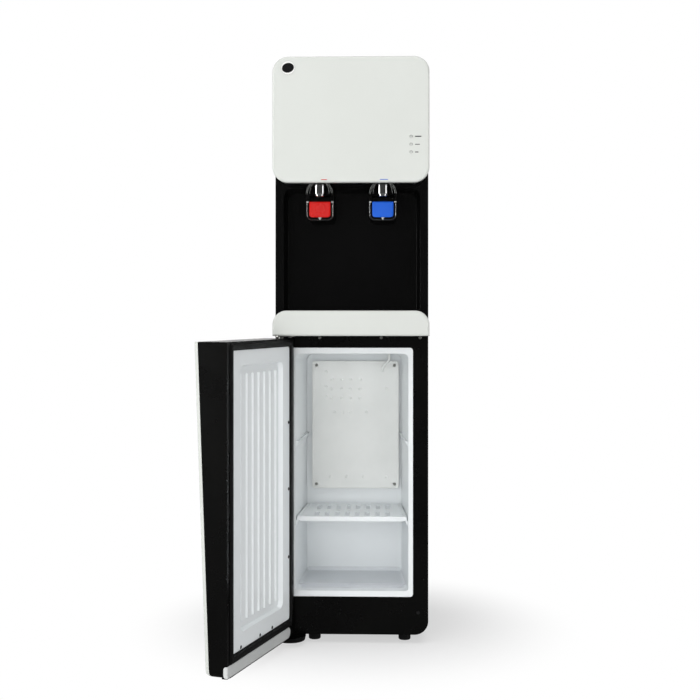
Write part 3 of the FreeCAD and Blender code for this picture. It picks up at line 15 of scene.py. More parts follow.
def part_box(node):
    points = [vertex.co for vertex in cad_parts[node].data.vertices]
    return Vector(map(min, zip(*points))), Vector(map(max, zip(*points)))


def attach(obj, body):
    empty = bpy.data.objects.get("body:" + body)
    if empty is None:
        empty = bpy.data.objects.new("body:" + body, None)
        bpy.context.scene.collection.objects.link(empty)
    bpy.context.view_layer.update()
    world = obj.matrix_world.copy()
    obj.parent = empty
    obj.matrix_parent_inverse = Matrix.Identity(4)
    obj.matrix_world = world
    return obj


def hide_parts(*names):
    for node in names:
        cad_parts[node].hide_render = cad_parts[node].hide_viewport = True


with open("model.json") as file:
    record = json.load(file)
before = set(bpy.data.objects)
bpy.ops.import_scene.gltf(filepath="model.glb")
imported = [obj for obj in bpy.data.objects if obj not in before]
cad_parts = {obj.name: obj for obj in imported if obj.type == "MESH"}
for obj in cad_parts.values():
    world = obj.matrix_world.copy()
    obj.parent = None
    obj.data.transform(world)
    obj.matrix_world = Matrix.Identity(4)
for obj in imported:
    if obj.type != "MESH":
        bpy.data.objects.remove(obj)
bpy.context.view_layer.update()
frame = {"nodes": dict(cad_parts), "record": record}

MM = 0.001
slot_of = {row["node"]: row["material_slot"] for row in frame["record"]["subparts"]}

# %% [markdown]
# The camera comes first, because every later choice is judged through it. It stands level in front of the
# dispenser, a little to the right, and is turned a little to the left. Tilting it would make the standing
# edges lean, so the frame is moved down with the lens shift instead, as an architect's camera does.

# %% Camera
PICTURE = 700
FOCAL_PIXELS = 1174.9
HORIZON_ROW = 311.02
SENSOR = 36.0
CAMERA_PLACE = (0.067, -2.4552, 0.6526)
CAMERA_TURN = 1.75

camera_data = bpy.data.cameras.new("front_camera")
camera_data.sensor_width = SENSOR
camera_data.lens = FOCAL_PIXELS * SENSOR / PICTURE
camera_data.shift_y = (HORIZON_ROW - PICTURE / 2) / PICTURE
camera = bpy.data.objects.new("front_camera", camera_data)
bpy.context.scene.collection.objects.link(camera)
camera.location = CAMERA_PLACE
camera.rotation_euler = (math.radians(90), 0, math.radians(CAMERA_TURN))
bpy.context.scene.camera = camera
print("lens", round(camera_data.lens, 2), "mm, shift", round(camera_data.shift_y, 4))

# %% [markdown]
# Shader nodes are made with many small calls, so a few helpers keep the recipes readable: one fills a
# node's sockets, one adds a node, one opens an empty shader group and one places a group in a material.
# Plain numbers go straight onto the sockets, so that they survive when the model is exported.

# %% Helpers for shader nodes
def fill(node, settings):
    """Sets a node's inputs by name, by a value or by a link from another socket."""
    tree = node.id_data
    for key, value in settings.items():
        target = node.inputs[key]
        if isinstance(value, bpy.types.NodeSocket):
            tree.links.new(value, target)
        else:
            target.default_value = value
    return node


def add(tree, kind, settings=None, **facts):
    """Adds a node: facts are its own properties, settings go to its sockets."""
    node = tree.nodes.new(kind)
    for key, value in facts.items():
        setattr(node, key, value)
    return fill(node, settings or {})


def new_group(name, inputs, outputs):
    """An empty shader group with named sockets: (name, kind, first value)."""
    tree = bpy.data.node_groups.new(name, "ShaderNodeTree")
    kinds = {"value": "NodeSocketFloat", "colour": "NodeSocketColor", "vector": "NodeSocketVector"}
    for label, kind, start in inputs:
        socket = tree.interface.new_socket(label, in_out="INPUT", socket_type=kinds[kind])
        if start is not None:
            socket.default_value = start
    for label, kind in outputs:
        tree.interface.new_socket(label, in_out="OUTPUT", socket_type=kinds[kind])
    return tree, tree.nodes.new("NodeGroupInput"), tree.nodes.new("NodeGroupOutput")


def place(tree, group, settings):
    """Places a shader group in a material."""
    node = tree.nodes.new("ShaderNodeGroup")
    node.node_tree = group
    return fill(node, settings)


def pale(value):
    return (value, value, value, 1.0)


# %% [markdown]
# Three effects return in almost every finish. Tone drift mixes two near colours over a slow noise, because
# no moulding or paint is perfectly even. Skin is the fine orange-peel or grain that breaks a highlight up.
# Strokes are noise stretched along one axis, for rolled, drawn or brushed metal.

# %% Shared shader groups
drift, enter, leave = new_group(
    "tone_drift",
    [("Colour A", "colour", pale(0.5)), ("Colour B", "colour", pale(0.6)), ("Scale", "value", 6.0),
     ("Low", "value", 0.4), ("High", "value", 0.6)],
    [("Colour", "colour"), ("Mask", "value")])
where = add(drift, "ShaderNodeTexCoord")
noise = add(drift, "ShaderNodeTexNoise", {
    "Vector": where.outputs["Object"], "Scale": enter.outputs["Scale"], "Detail": 4.0, "Roughness": 0.55})
ramp = add(drift, "ShaderNodeMapRange", {
    "Value": noise.outputs["Fac"], "From Min": enter.outputs["Low"], "From Max": enter.outputs["High"]})
mixed = add(drift, "ShaderNodeMix", {"Factor": ramp.outputs["Result"]}, data_type="RGBA")
drift.links.new(enter.outputs["Colour A"], mixed.inputs["A"])
drift.links.new(enter.outputs["Colour B"], mixed.inputs["B"])
fill(leave, {"Colour": mixed.outputs["Result"], "Mask": ramp.outputs["Result"]})


def rough_range(tree, enter, noise):
    """The roughness that a noise gives, between a group's Rough Low and Rough High."""
    spread = add(tree, "ShaderNodeMapRange", {
        "Value": noise, "From Min": 0.3, "From Max": 0.7,
        "To Min": enter.outputs["Rough Low"], "To Max": enter.outputs["Rough High"]})
    return spread.outputs["Result"]


skin, enter, leave = new_group(
    "surface_skin",
    [("Scale", "value", 900.0), ("Rough Low", "value", 0.3), ("Rough High", "value", 0.4)],
    [("Roughness", "value"), ("Height", "value")])
where = add(skin, "ShaderNodeTexCoord")
fine = add(skin, "ShaderNodeTexNoise", {
    "Vector": where.outputs["Object"], "Scale": enter.outputs["Scale"], "Detail": 3.0, "Roughness": 0.5})
slow = add(skin, "ShaderNodeTexNoise", {
    "Vector": where.outputs["Object"], "Scale": 14.0, "Detail": 5.0, "Roughness": 0.6})
spread = rough_range(skin, enter, slow.outputs["Fac"])
fill(leave, {"Roughness": spread, "Height": fine.outputs["Fac"]})

strokes, enter, leave = new_group(
    "metal_strokes",
    [("Stretch", "vector", (1.0, 1.0, 1.0)), ("Scale", "value", 400.0), ("Rough Low", "value", 0.2),
     ("Rough High", "value", 0.4)],
    [("Roughness", "value"), ("Height", "value")])
where = add(strokes, "ShaderNodeTexCoord")
stretched = add(strokes, "ShaderNodeMapping", {
    "Vector": where.outputs["Object"], "Scale": enter.outputs["Stretch"]})
lines = add(strokes, "ShaderNodeTexNoise", {
    "Vector": stretched.outputs["Vector"], "Scale": enter.outputs["Scale"], "Detail": 3.0, "Roughness": 0.6})
spread = rough_range(strokes, enter, lines.outputs["Fac"])
fill(leave, {"Roughness": spread, "Height": lines.outputs["Fac"]})
print("shader groups:", drift.name, skin.name, strokes.name)

# %% [markdown]
# A finish is a Principled shader with a drifting colour, a drifting roughness and a small bump. Real edges
# are never razor sharp, and the thin light line along them tells the eye that a thing is solid. The CAD
# edges are sharp, so a Bevel node bends the normal over a fraction of a millimetre of each edge.

# %% The recipe for a finish
finishes = {}


def finish(name, colour, other, rough, skin_scale=900.0, bump=0.05, edge=0.5, drift_scale=6.0, metal=0.0,
           group=skin, stretch=None, **sockets):
    """One material. Colour and other are its two near tones, rough is its range of roughness, bump the
    strength of its grain and edge the softened edge in mm. More keywords set the shader's own sockets."""
    material = bpy.data.materials.new(name)
    material.use_nodes = True
    tree = material.node_tree
    shader = tree.nodes["Principled BSDF"]
    tone = place(tree, drift, {"Colour A": (*colour, 1.0), "Colour B": (*other, 1.0), "Scale": drift_scale})
    settings = {"Scale": skin_scale, "Rough Low": rough[0], "Rough High": rough[1]}
    if stretch:
        settings["Stretch"] = stretch
    texture = place(tree, group, settings)
    soft = add(tree, "ShaderNodeBevel", {"Radius": edge * MM}, samples=4)
    relief = add(tree, "ShaderNodeBump", {"Height": texture.outputs["Height"], "Strength": bump,
                                          "Distance": 0.2 * MM, "Normal": soft.outputs["Normal"]})
    fill(shader, {"Base Color": tone.outputs["Colour"], "Roughness": texture.outputs["Roughness"],
                  "Metallic": metal, "Normal": relief.outputs["Normal"]})
    fill(shader, sockets)
    finishes[name] = material
    return tree, shader


# %% [markdown]
# Black parts: powder-coated steel sides, satin mouldings, the high-gloss bay, rubber and enamel. Their
# colours are almost the same. What separates them is how they reflect, so each gets its own roughness and
# its own grain, from the coarse peel of powder to the flat mirror of the bay.

# %% Black finishes
finish("black_steel", (0.0018, 0.0018, 0.0018), (0.0028, 0.0028, 0.0027), rough=(0.34, 0.44),
       skin_scale=1400.0, bump=0.10, edge=0.6, **{"IOR": 1.38})
finish("black_satin", (0.0016, 0.0016, 0.0015), (0.0024, 0.0024, 0.0022), rough=(0.24, 0.32),
       skin_scale=1800.0, bump=0.06, edge=0.7, **{"IOR": 1.38})
finish("black_gloss", (0.0022, 0.0022, 0.0023), (0.0030, 0.0030, 0.0031), rough=(0.08, 0.13),
       skin_scale=500.0, bump=0.008, edge=0.8, **{"IOR": 1.45})
finish("black_enamel", (0.0060, 0.0060, 0.0062), (0.0100, 0.0100, 0.0105), rough=(0.22, 0.32),
       skin_scale=500.0, bump=0.05, edge=0.5)
finish("black_rubber", (0.0030, 0.0030, 0.0030), (0.0060, 0.0060, 0.0060), rough=(0.55, 0.72),
       skin_scale=1600.0, bump=0.18, edge=0.6)
finish("black_screw", (0.0060, 0.0060, 0.0060), (0.0120, 0.0120, 0.0125), rough=(0.30, 0.45),
       skin_scale=1200.0, bump=0.08, edge=0.2)
finish("badge_grey", (0.0060, 0.0060, 0.0064), (0.0090, 0.0090, 0.0095), rough=(0.16, 0.24),
       skin_scale=1200.0, bump=0.02, edge=0.3, **{"Coat Weight": 0.5})
print("black finishes:", len(finishes))

# %% [markdown]
# White parts: the glossy outer panels, the vacuum-formed liners, the lacquered cooling plate and a few
# plain mouldings. The liner sheet is stretched over a mould, so its surface waves a little, which the slow
# tone drift and a low bump give. The liners are a touch cooler than the panels.

# %% White and grey finishes
finish("white_panel", (0.640, 0.660, 0.628), (0.656, 0.676, 0.644), rough=(0.20, 0.27), skin_scale=700.0,
       bump=0.010, edge=1.0, drift_scale=3.0, **{"Coat Weight": 0.25, "Coat Roughness": 0.08})
finish("white_liner", (0.868, 0.900, 0.912), (0.880, 0.910, 0.922), rough=(0.34, 0.42), skin_scale=320.0,
       bump=0.04, edge=1.2, drift_scale=3.0)
finish("painted_aluminium", (0.820, 0.833, 0.813), (0.862, 0.873, 0.853), rough=(0.36, 0.50),
       skin_scale=240.0, bump=0.10, edge=0.5, drift_scale=9.0)
finish("white_plastic", (0.760, 0.765, 0.745), (0.800, 0.800, 0.780), rough=(0.40, 0.52),
       skin_scale=1500.0, bump=0.06, edge=0.4)
finish("pale_grey", (0.600, 0.615, 0.610), (0.650, 0.660, 0.655), rough=(0.28, 0.38), skin_scale=1500.0,
       bump=0.04, edge=0.8)
finish("lens", (0.530, 0.545, 0.525), (0.560, 0.575, 0.555), rough=(0.15, 0.22), skin_scale=900.0,
       bump=0.01, edge=0.2)
finish("insulation", (0.640, 0.560, 0.330), (0.740, 0.670, 0.440), rough=(0.80, 0.95), skin_scale=420.0,
       bump=0.60, edge=0.5, drift_scale=24.0)
print("finishes so far:", len(finishes))

# %% [markdown]
# Metals: chrome spouts, stainless tanks, galvanised sheet, zinc-plated screws and copper lines. Chrome is
# nearly a mirror, so all its looks come from what it reflects. Galvanised sheet shows frozen crystals, its
# spangle, which a Voronoi pattern draws as patches of slightly different tone.

# %% Metal finishes
finish("chrome", (0.80, 0.80, 0.80), (0.84, 0.84, 0.84), rough=(0.04, 0.09), skin_scale=900.0, bump=0.006,
       edge=0.4, drift_scale=20.0, metal=1.0)
finish("stainless", (0.58, 0.58, 0.57), (0.66, 0.66, 0.65), rough=(0.20, 0.34), skin_scale=260.0,
       bump=0.05, edge=0.5, drift_scale=8.0, metal=1.0, group=strokes, stretch=(1.0, 1.0, 0.04))
finish("zinc_steel", (0.60, 0.60, 0.57), (0.74, 0.73, 0.69), rough=(0.24, 0.38), skin_scale=900.0,
       bump=0.06, edge=0.2, drift_scale=120.0, metal=1.0)
finish("copper", (0.62, 0.30, 0.17), (0.46, 0.20, 0.11), rough=(0.22, 0.40), skin_scale=500.0, bump=0.04,
       edge=0.2, drift_scale=30.0, metal=1.0)
tree, shader = finish("galvanised", (0.46, 0.48, 0.50), (0.60, 0.62, 0.64), rough=(0.32, 0.46),
                      skin_scale=60.0, bump=0.04, edge=0.4, drift_scale=14.0, metal=1.0, group=strokes,
                      stretch=(1.0, 1.0, 1.0))
where = add(tree, "ShaderNodeTexCoord")
crystals = add(tree, "ShaderNodeTexVoronoi", {"Vector": where.outputs["Object"], "Scale": 90.0})
patch = add(tree, "ShaderNodeMapRange", {"Value": crystals.outputs["Color"], "To Min": 0.42, "To Max": 0.66})
fill(shader, {"Base Color": patch.outputs["Result"]})
print("finishes so far:", len(finishes))

# %% [markdown]
# Coloured plastics are even in tone and glossy. The clear tray lets light through, with the faint violet of
# thick acrylic. Silicone tube is milky, so it passes a little light and scatters the rest.

# %% Coloured and clear finishes
finish("red_plastic", (0.560, 0.0080, 0.0060), (0.620, 0.0110, 0.0080), rough=(0.20, 0.28),
       skin_scale=1200.0, bump=0.015, edge=0.7)
finish("blue_plastic", (0.0080, 0.095, 0.560), (0.0110, 0.110, 0.620), rough=(0.20, 0.28),
       skin_scale=1200.0, bump=0.015, edge=0.7)
finish("green_plastic", (0.020, 0.300, 0.080), (0.030, 0.340, 0.100), rough=(0.22, 0.32),
       skin_scale=1200.0, bump=0.02, edge=0.4)
finish("clear_plastic", (0.86, 0.88, 0.97), (0.90, 0.91, 0.98), rough=(0.05, 0.10), skin_scale=700.0,
       bump=0.01, edge=0.4, drift_scale=10.0, **{"Alpha": 0.10, "IOR": 1.45})
finish("silicone", (0.80, 0.80, 0.76), (0.86, 0.86, 0.83), rough=(0.38, 0.50), skin_scale=900.0,
       bump=0.03, edge=0.3, drift_scale=20.0, **{"Transmission Weight": 0.35, "IOR": 1.40})
for name, node in frame["nodes"].items():
    node.data.materials.clear()
    node.data.materials.append(finishes[slot_of[name]])
print("finishes:", len(finishes), "nodes dressed:", len(frame["nodes"]))

# %% [markdown]
# Small pieces are easiest to place from the CAD nodes that they refine. A node that holds many separate
# solids, such as a set of screws, is split here into its islands, and the middle of each island says where
# a finer piece goes. The CAD meshes are loose triangles, so a copy is merged first.

# %% Finding the islands of a node
def islands(node):
    """The low and high corner of each separate solid of a CAD node, in metres."""
    mesh = bmesh.new()
    mesh.from_mesh(frame["nodes"][node].data)
    bmesh.ops.remove_doubles(mesh, verts=mesh.verts, dist=1e-6)
    seen, found = set(), []
    for start in mesh.verts:
        if start in seen:
            continue
        group, todo = [], [start]
        seen.add(start)
        while todo:
            vert = todo.pop()
            group.append(vert.co.copy())
            for edge in vert.link_edges:
                other = edge.other_vert(vert)
                if other not in seen:
                    seen.add(other)
                    todo.append(other)
        low = Vector([min(p[i] for p in group) for i in range(3)])
        high = Vector([max(p[i] for p in group) for i in range(3)])
        found.append((low, high))
    mesh.free()
    return sorted(found, key=lambda pair: tuple(pair[0]))


def link(name, mesh, body, slot):
    """Puts a finished mesh into the scene as a piece that rides on a body."""
    piece = bpy.data.objects.new(name, mesh)
    bpy.context.scene.collection.objects.link(piece)
    if not mesh.materials:
        mesh.materials.append(finishes[slot])
    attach(piece, body)
    return piece


for node in ("case_screws", "evaporator_screws", "door_screws"):
    print(node, len(islands(node)), "islands")

# %% [markdown]
# Screws repeat, so one node tree makes them all: a squashed sphere is cut to a low dome, two crossed bars
# cut the driver's recess, and a copy stands on every point, turned to the side that the point faces. The
# points come from the islands of the CAD screws, so a screw can't drift away from its hole. The steps that
# other trees need too, such as the ball, the copies and the ending, are functions of their own.

# %% Parts that the node trees share
def new_tree(name, inputs):
    """An empty geometry tree with named inputs and one geometry in and out."""
    tree = bpy.data.node_groups.new(name, "GeometryNodeTree")
    tree.interface.new_socket("Geometry", in_out="INPUT", socket_type="NodeSocketGeometry")
    for label, kind, start in inputs:
        socket = tree.interface.new_socket(label, in_out="INPUT", socket_type=kind)
        if start is not None:
            socket.default_value = start
    tree.interface.new_socket("Geometry", in_out="OUTPUT", socket_type="NodeSocketGeometry")
    return tree, tree.nodes.new("NodeGroupInput"), tree.nodes.new("NodeGroupOutput")


def result(tree, node, values):
    """Fills a small maths node's sockets in order, by numbers or links, and gives its answer."""
    for socket, value in zip(node.inputs, values):
        if isinstance(value, bpy.types.NodeSocket):
            tree.links.new(value, socket)
        else:
            socket.default_value = value
    return node.outputs[0]


def product(tree, a, b):
    return result(tree, add(tree, "ShaderNodeMath", operation="MULTIPLY"), (a, b))


def triple(tree, x, y, z):
    return result(tree, add(tree, "ShaderNodeCombineXYZ"), (x, y, z))


def squashed_ball(tree, enter, segments, rings):
    """A ball of the tree's Radius, squashed to its Height."""
    radius, height = enter.outputs["Radius"], enter.outputs["Height"]
    ball = add(tree, "GeometryNodeMeshUVSphere", {"Segments": segments, "Rings": rings, "Radius": 1.0})
    squashed = add(tree, "GeometryNodeTransform", {
        "Geometry": ball.outputs["Mesh"], "Scale": triple(tree, radius, radius, height)})
    return squashed.outputs["Geometry"]


def on_every_point(tree, enter, shape):
    """A copy of a shape on every point, turned the way that the point faces."""
    facing = add(tree, "GeometryNodeInputNamedAttribute", {"Name": "facing"}, data_type="FLOAT_VECTOR")
    turn = add(tree, "FunctionNodeAlignRotationToVector", {"Vector": facing.outputs["Attribute"]}, axis="Z")
    copies = add(tree, "GeometryNodeInstanceOnPoints", {
        "Points": enter.outputs["Geometry"], "Instance": shape, "Rotation": turn.outputs["Rotation"]})
    return copies.outputs["Instances"]


def end_tree(tree, enter, leave, shape):
    """Ends a tree as the export needs it: copies made real, and the finish set."""
    real = add(tree, "GeometryNodeRealizeInstances", {"Geometry": shape})
    painted = add(tree, "GeometryNodeSetMaterial", {
        "Geometry": real.outputs["Geometry"], "Material": enter.outputs["Finish"]})
    fill(leave, {"Geometry": painted.outputs["Geometry"]})


# %% A node tree for cross-head screws
SEAT_WIDTH = 20 * MM
BAR_NARROW, BAR_LONG = 0.26, 1.15  # shares of the head's radius
BAR_LIFT = 0.85  # share of the head's height

screw_tree, enter, leave = new_tree("cross_head_screws", [
    ("Radius", "NodeSocketFloat", 3.2 * MM), ("Height", "NodeSocketFloat", 1.4 * MM),
    ("Finish", "NodeSocketMaterial", None)])
radius, height = enter.outputs["Radius"], enter.outputs["Height"]
seat = add(screw_tree, "GeometryNodeMeshCube", {
    "Size": triple(screw_tree, SEAT_WIDTH, SEAT_WIDTH, product(screw_tree, height, 2.0))})
lifted = add(screw_tree, "GeometryNodeTransform", {
    "Geometry": seat.outputs["Mesh"], "Translation": triple(screw_tree, 0.0, 0.0, height)})
dome = add(screw_tree, "GeometryNodeMeshBoolean", operation="INTERSECT", solver="EXACT")
screw_tree.links.new(squashed_ball(screw_tree, enter, 24, 16), dome.inputs["Mesh 2"])
screw_tree.links.new(lifted.outputs["Geometry"], dome.inputs["Mesh 2"])
cutter = add(screw_tree, "GeometryNodeMeshBoolean", {"Mesh 1": dome.outputs["Mesh"]},
             operation="DIFFERENCE", solver="EXACT")
for across, along in ((BAR_NARROW, BAR_LONG), (BAR_LONG, BAR_NARROW)):
    bar = add(screw_tree, "GeometryNodeMeshCube", {"Size": triple(
        screw_tree, product(screw_tree, radius, across), product(screw_tree, radius, along), height)})
    lift = triple(screw_tree, 0.0, 0.0, product(screw_tree, height, BAR_LIFT))
    raised = add(screw_tree, "GeometryNodeTransform", {"Geometry": bar.outputs["Mesh"], "Translation": lift})
    screw_tree.links.new(raised.outputs["Geometry"], cutter.inputs["Mesh 2"])
end_tree(screw_tree, enter, leave, on_every_point(screw_tree, enter, cutter.outputs["Mesh"]))
print("screw tree has", len(screw_tree.nodes), "nodes")


# %% Settling a node tree into a plain mesh
def grown(name, tree, points, directions, values, body, slot, edges=()):
    """Runs a geometry tree on points with directions and keeps the result as one plain piece."""
    mesh = bpy.data.meshes.new(name)
    mesh.from_pydata([tuple(p) for p in points], list(edges), [])
    facing = mesh.attributes.new("facing", "FLOAT_VECTOR", "POINT")
    for i, direction in enumerate(directions):
        facing.data[i].vector = direction
    seed = bpy.data.objects.new(name + "_points", mesh)
    bpy.context.scene.collection.objects.link(seed)
    modifier = seed.modifiers.new("shape", "NODES")
    modifier.node_group = tree
    values = dict(values, Finish=finishes[slot])
    for item in tree.interface.items_tree:
        if item.item_type == "SOCKET" and item.in_out == "INPUT" and item.name in values:
            modifier[item.identifier] = values[item.name]
    bpy.context.view_layer.update()
    solid = bpy.data.meshes.new_from_object(seed.evaluated_get(bpy.context.evaluated_depsgraph_get()))
    bpy.data.objects.remove(seed)
    solid.name = name
    print(name, len(solid.polygons), "faces from", len(points), "points")
    return link(name, solid, body, slot)


# %% [markdown]
# The case screws look forward on the front frame and on the black band under the taps, and backward on the
# rear cover. The door's screws look along the open door's inner side, so their direction is turned with
# the door. The cooling plate's screws stay as the CAD model has them, because their heads are too small
# and too deep inside to need more.

# %% Screws in their places
FRONT, BACK = Vector((0, -1, 0)), Vector((0, 1, 0))
DOOR_OPENING = -108.0
OPEN = Matrix.Rotation(math.radians(DOOR_OPENING), 3, "Z")
HEAD_HEIGHT = 1.0 * MM
ON_THE_FRAME = 0.2 * MM
FASCIA_LIFT = 0.6 * MM
DOOR_SINK = 0.5 * MM
door_inward = OPEN @ BACK
frame_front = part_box("front_frame")[0].y


def head_points(node, direction, keep):
    """The middle of the outer face of each island that is kept, on the side that a direction points to."""
    places = []
    for low, high in islands(node):
        if keep(low, high):
            middle = (low + high) / 2
            size = high - low
            reach = abs(direction.x) * size.x / 2 + abs(direction.y) * size.y / 2
            places.append(middle + direction * (reach - min(reach, HEAD_HEIGHT)))
    return places


front_rail = head_points("case_screws", FRONT, lambda low, high: high.y < frame_front + ON_THE_FRAME)
set_back = head_points("case_screws", FRONT, lambda low, high: frame_front + ON_THE_FRAME < high.y < 0)
fascia = [point + FRONT * FASCIA_LIFT for point in set_back]
rear = head_points("case_screws", BACK, lambda low, high: low.y > 0)
directions = [FRONT] * len(front_rail) + [BACK] * len(rear)
low_head = {"Height": HEAD_HEIGHT}
case = grown("case_screw_heads", screw_tree, front_rail + rear, directions, low_head, "cabinet", "zinc_steel")
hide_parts("case_screws")
grown("fascia_screw_heads", screw_tree, fascia, [FRONT] * len(fascia), low_head, "cabinet", "black_screw")

centres = [(low + high) / 2 - door_inward * DOOR_SINK for low, high in islands("door_screws")]
door_heads = grown("door_screw_heads", screw_tree, centres, [door_inward] * len(centres), low_head,
                   "door", "black_screw")
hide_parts("door_screws")

# %% [markdown]
# The cooling plate carries small pressed dimples where its channels are pinched shut. They sit in uneven
# rows, denser at the top left. A tree stands a low dome on every point. Each row below has its height on
# the dispenser in millimetres, and the places of its dimples across.

# %% Dimples of the cooling plate
PLATE_SHEET = 1.5 * MM

dimple_tree, enter, leave = new_tree("plate_dimples", [
    ("Radius", "NodeSocketFloat", 3.2 * MM), ("Height", "NodeSocketFloat", 1.6 * MM),
    ("Finish", "NodeSocketMaterial", None)])
smooth = add(dimple_tree, "GeometryNodeSetShadeSmooth", {
    "Geometry": squashed_ball(dimple_tree, enter, 12, 8)})
end_tree(dimple_tree, enter, leave, on_every_point(dimple_tree, enter, smooth.outputs["Geometry"]))

dimple_rows = {
    524.6: (-58.9,), 508.7: (-45.7, -25.4, -7.5, 13.1), 493.0: (-58.9,),
    488.6: (-47.0, -26.0, -8.3, 12.0, 68.3), 472.0: (-58.9,), 469.4: (-47.0, -26.5, -8.3, 12.0),
    440.2: (-41.7, -23.8, -8.3, 26.0), 303.7: (-50.9, -15.4, 18.9, 67.4)}
plate_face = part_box("evaporator_plate")[1].y - PLATE_SHEET
dimples = [Vector((x * MM, plate_face, z * MM)) for z, row in dimple_rows.items() for x in row]
grown("plate_dimples", dimple_tree, dimples, [FRONT] * len(dimples), {}, "cabinet", "painted_aluminium")

# %% [markdown]
# The door gasket is soft rubber: a flat foot, a round bulb that holds the magnet strip, and fine folds
# between them. One section is carried round the frame, from an outer to an inner rounded rectangle, which
# keeps every fold parallel to the edge. It is drawn for the closed door and then swung open with it. Its
# two halves mirror each other, so only half of the section is written down.

# %% Gasket
DOOR_PIN = Vector((-0.137, -0.176, 0))
DOOR_BACK = -0.154
GASKET_HALF = 137.5 * MM
GASKET_INSETS = {"side": 10.7 * MM, "foot": 14.7 * MM, "head": 12.7 * MM}
OUTER_CORNER, INNER_CORNER = 4 * MM, 3 * MM


def swing(point):
    """A point of the closed door, moved to where it stands on the open door."""
    return OPEN @ (point - DOOR_PIN) + DOOR_PIN


def ring_path(half_width, low, high, radius, steps=6):
    """Points of a rounded rectangle seen from the front, corner by corner."""
    corners = ((half_width - radius, low + radius, -90), (half_width - radius, high - radius, 0),
               (radius - half_width, high - radius, 90), (radius - half_width, low + radius, 180))
    path = []
    for x, z, start in corners:
        for i in range(steps + 1):
            angle = math.radians(start + 90 * i / steps)
            path.append((x + radius * math.cos(angle), z + radius * math.sin(angle)))
    return path


# Each point is a share of the way from the outer to the inner edge, and its rise in millimetres.
half_fold = [(0, 0), (0, 1.0), (0.06, 1.35), (0.12, 1.3), (0.15, 0.9), (0.18, 1.3), (0.19, 2.4), (0.23, 3.1),
             (0.30, 3.4), (0.345, 3.35), (0.365, 3.0), (0.385, 3.35), (0.50, 3.4)]
section = half_fold + [(1 - share, rise) for share, rise in reversed(half_fold[:-1])]
gasket_low, gasket_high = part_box("door_gasket")
outer = ring_path(GASKET_HALF, gasket_low.z, gasket_high.z, OUTER_CORNER)
inner = ring_path(GASKET_HALF - GASKET_INSETS["side"], gasket_low.z + GASKET_INSETS["foot"],
                  gasket_high.z - GASKET_INSETS["head"], INNER_CORNER)
verts, faces = [], []
for (outer_x, outer_z), (inner_x, inner_z) in zip(outer, inner):
    for share, rise in section:
        x = outer_x + (inner_x - outer_x) * share
        z = outer_z + (inner_z - outer_z) * share
        verts.append(tuple(swing(Vector((x, DOOR_BACK + rise * MM, z)))))
count = len(section)
for i in range(len(outer)):
    here, after = i * count, ((i + 1) % len(outer)) * count
    for k in range(count):
        beside = (k + 1) % count
        faces.append((here + k, here + beside, after + beside, after + k))
mesh = bpy.data.meshes.new("door_gasket_folds")
mesh.from_pydata(verts, [], faces)
shaped = bmesh.new()
shaped.from_mesh(mesh)
bmesh.ops.recalc_face_normals(shaped, faces=shaped.faces)
shaped.to_mesh(mesh)
shaped.free()
for polygon in mesh.polygons:
    polygon.use_smooth = True
gasket = link("door_gasket_folds", mesh, "door", "black_rubber")
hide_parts("door_gasket")
print("gasket faces", len(mesh.polygons))

# %% [markdown]
# The badge is a dark disc whose rim carries a pale ring, wider above and below, which leaves a dark oval.
# The three lights have a thin ring and a short dash beside them, and each tap has a coloured dash above
# it. All are printed or inlaid shapes, so they are flat plates a tenth of a millimetre proud.

# %% Outlines and thin plates
PRINT = 0.12 * MM


def plates(name, outlines, y, body, slot, thickness=PRINT):
    """Thin plates that face forward, from outlines of (x, z) points; an outline may have a hole."""
    mesh = bmesh.new()
    for outline, hole in outlines:
        layers = []
        for ring in [outline] + ([hole] if hole else []):
            near, far = [[mesh.verts.new((x, depth, z)) for x, z in ring]
                         for depth in (y - thickness, y + thickness)]
            layers.append((near, far))
            for i in range(len(near)):
                j = (i + 1) % len(near)
                mesh.faces.new((near[i], near[j], far[j], far[i]))
        for side in (0, 1):
            if hole:
                rim, edge = layers[0][side], layers[1][side]
                for i in range(len(rim)):
                    j = (i + 1) % len(rim)
                    mesh.faces.new((rim[i], rim[j], edge[j], edge[i]))
            else:
                mesh.faces.new(layers[0][side])
    bmesh.ops.recalc_face_normals(mesh, faces=mesh.faces)
    data = bpy.data.meshes.new(name)
    mesh.to_mesh(data)
    mesh.free()
    return link(name, data, body, slot)


def oval(x, z, wide, tall, lean=0.0, count=40):
    """An ellipse, leaning by some degrees."""
    turn = Matrix.Rotation(math.radians(lean), 2)
    angles = [2 * math.pi * i / count for i in range(count)]
    return [tuple(Vector((x, z)) + turn @ Vector((wide * math.cos(a), tall * math.sin(a)))) for a in angles]


def bar(left, right, low, high, corner=0.25 * MM):
    """A bar with four cut corners, from its sides in millimetres."""
    left, right, low, high = (side * MM for side in (left, right, low, high))
    return [(left + corner, low), (right - corner, low), (right, low + corner), (right, high - corner),
            (right - corner, high), (left + corner, high), (left, high - corner), (left, low + corner)]


# %% Rings, dashes and marks
BADGE_RING = 12.9 * MM
BADGE_EYE = {"wide": 11.6 * MM, "tall": 9.3 * MM, "lean": 14.0}
BADGE_POINTS = 48
LIGHT_ROWS = (985.0, 970.0, 955.5)
RING_OUTER, RING_INNER = 2.9 * MM, 2.3 * MM
DASH_START = 122.5
LIGHT_DASHES = ((134.5, 985.2, 0.95), (131.5, 970.0, 0.7), (129.0, 955.3, 0.8))  # end, height, half thickness
TAP_DASH_LOW, TAP_DASH_HIGH = 902.6, 904.0
TAP_DASHES = {"hot_dash": (-56.5, -45.5, "red_plastic"), "cold_dash": (55.8, 71.0, "blue_plastic")}

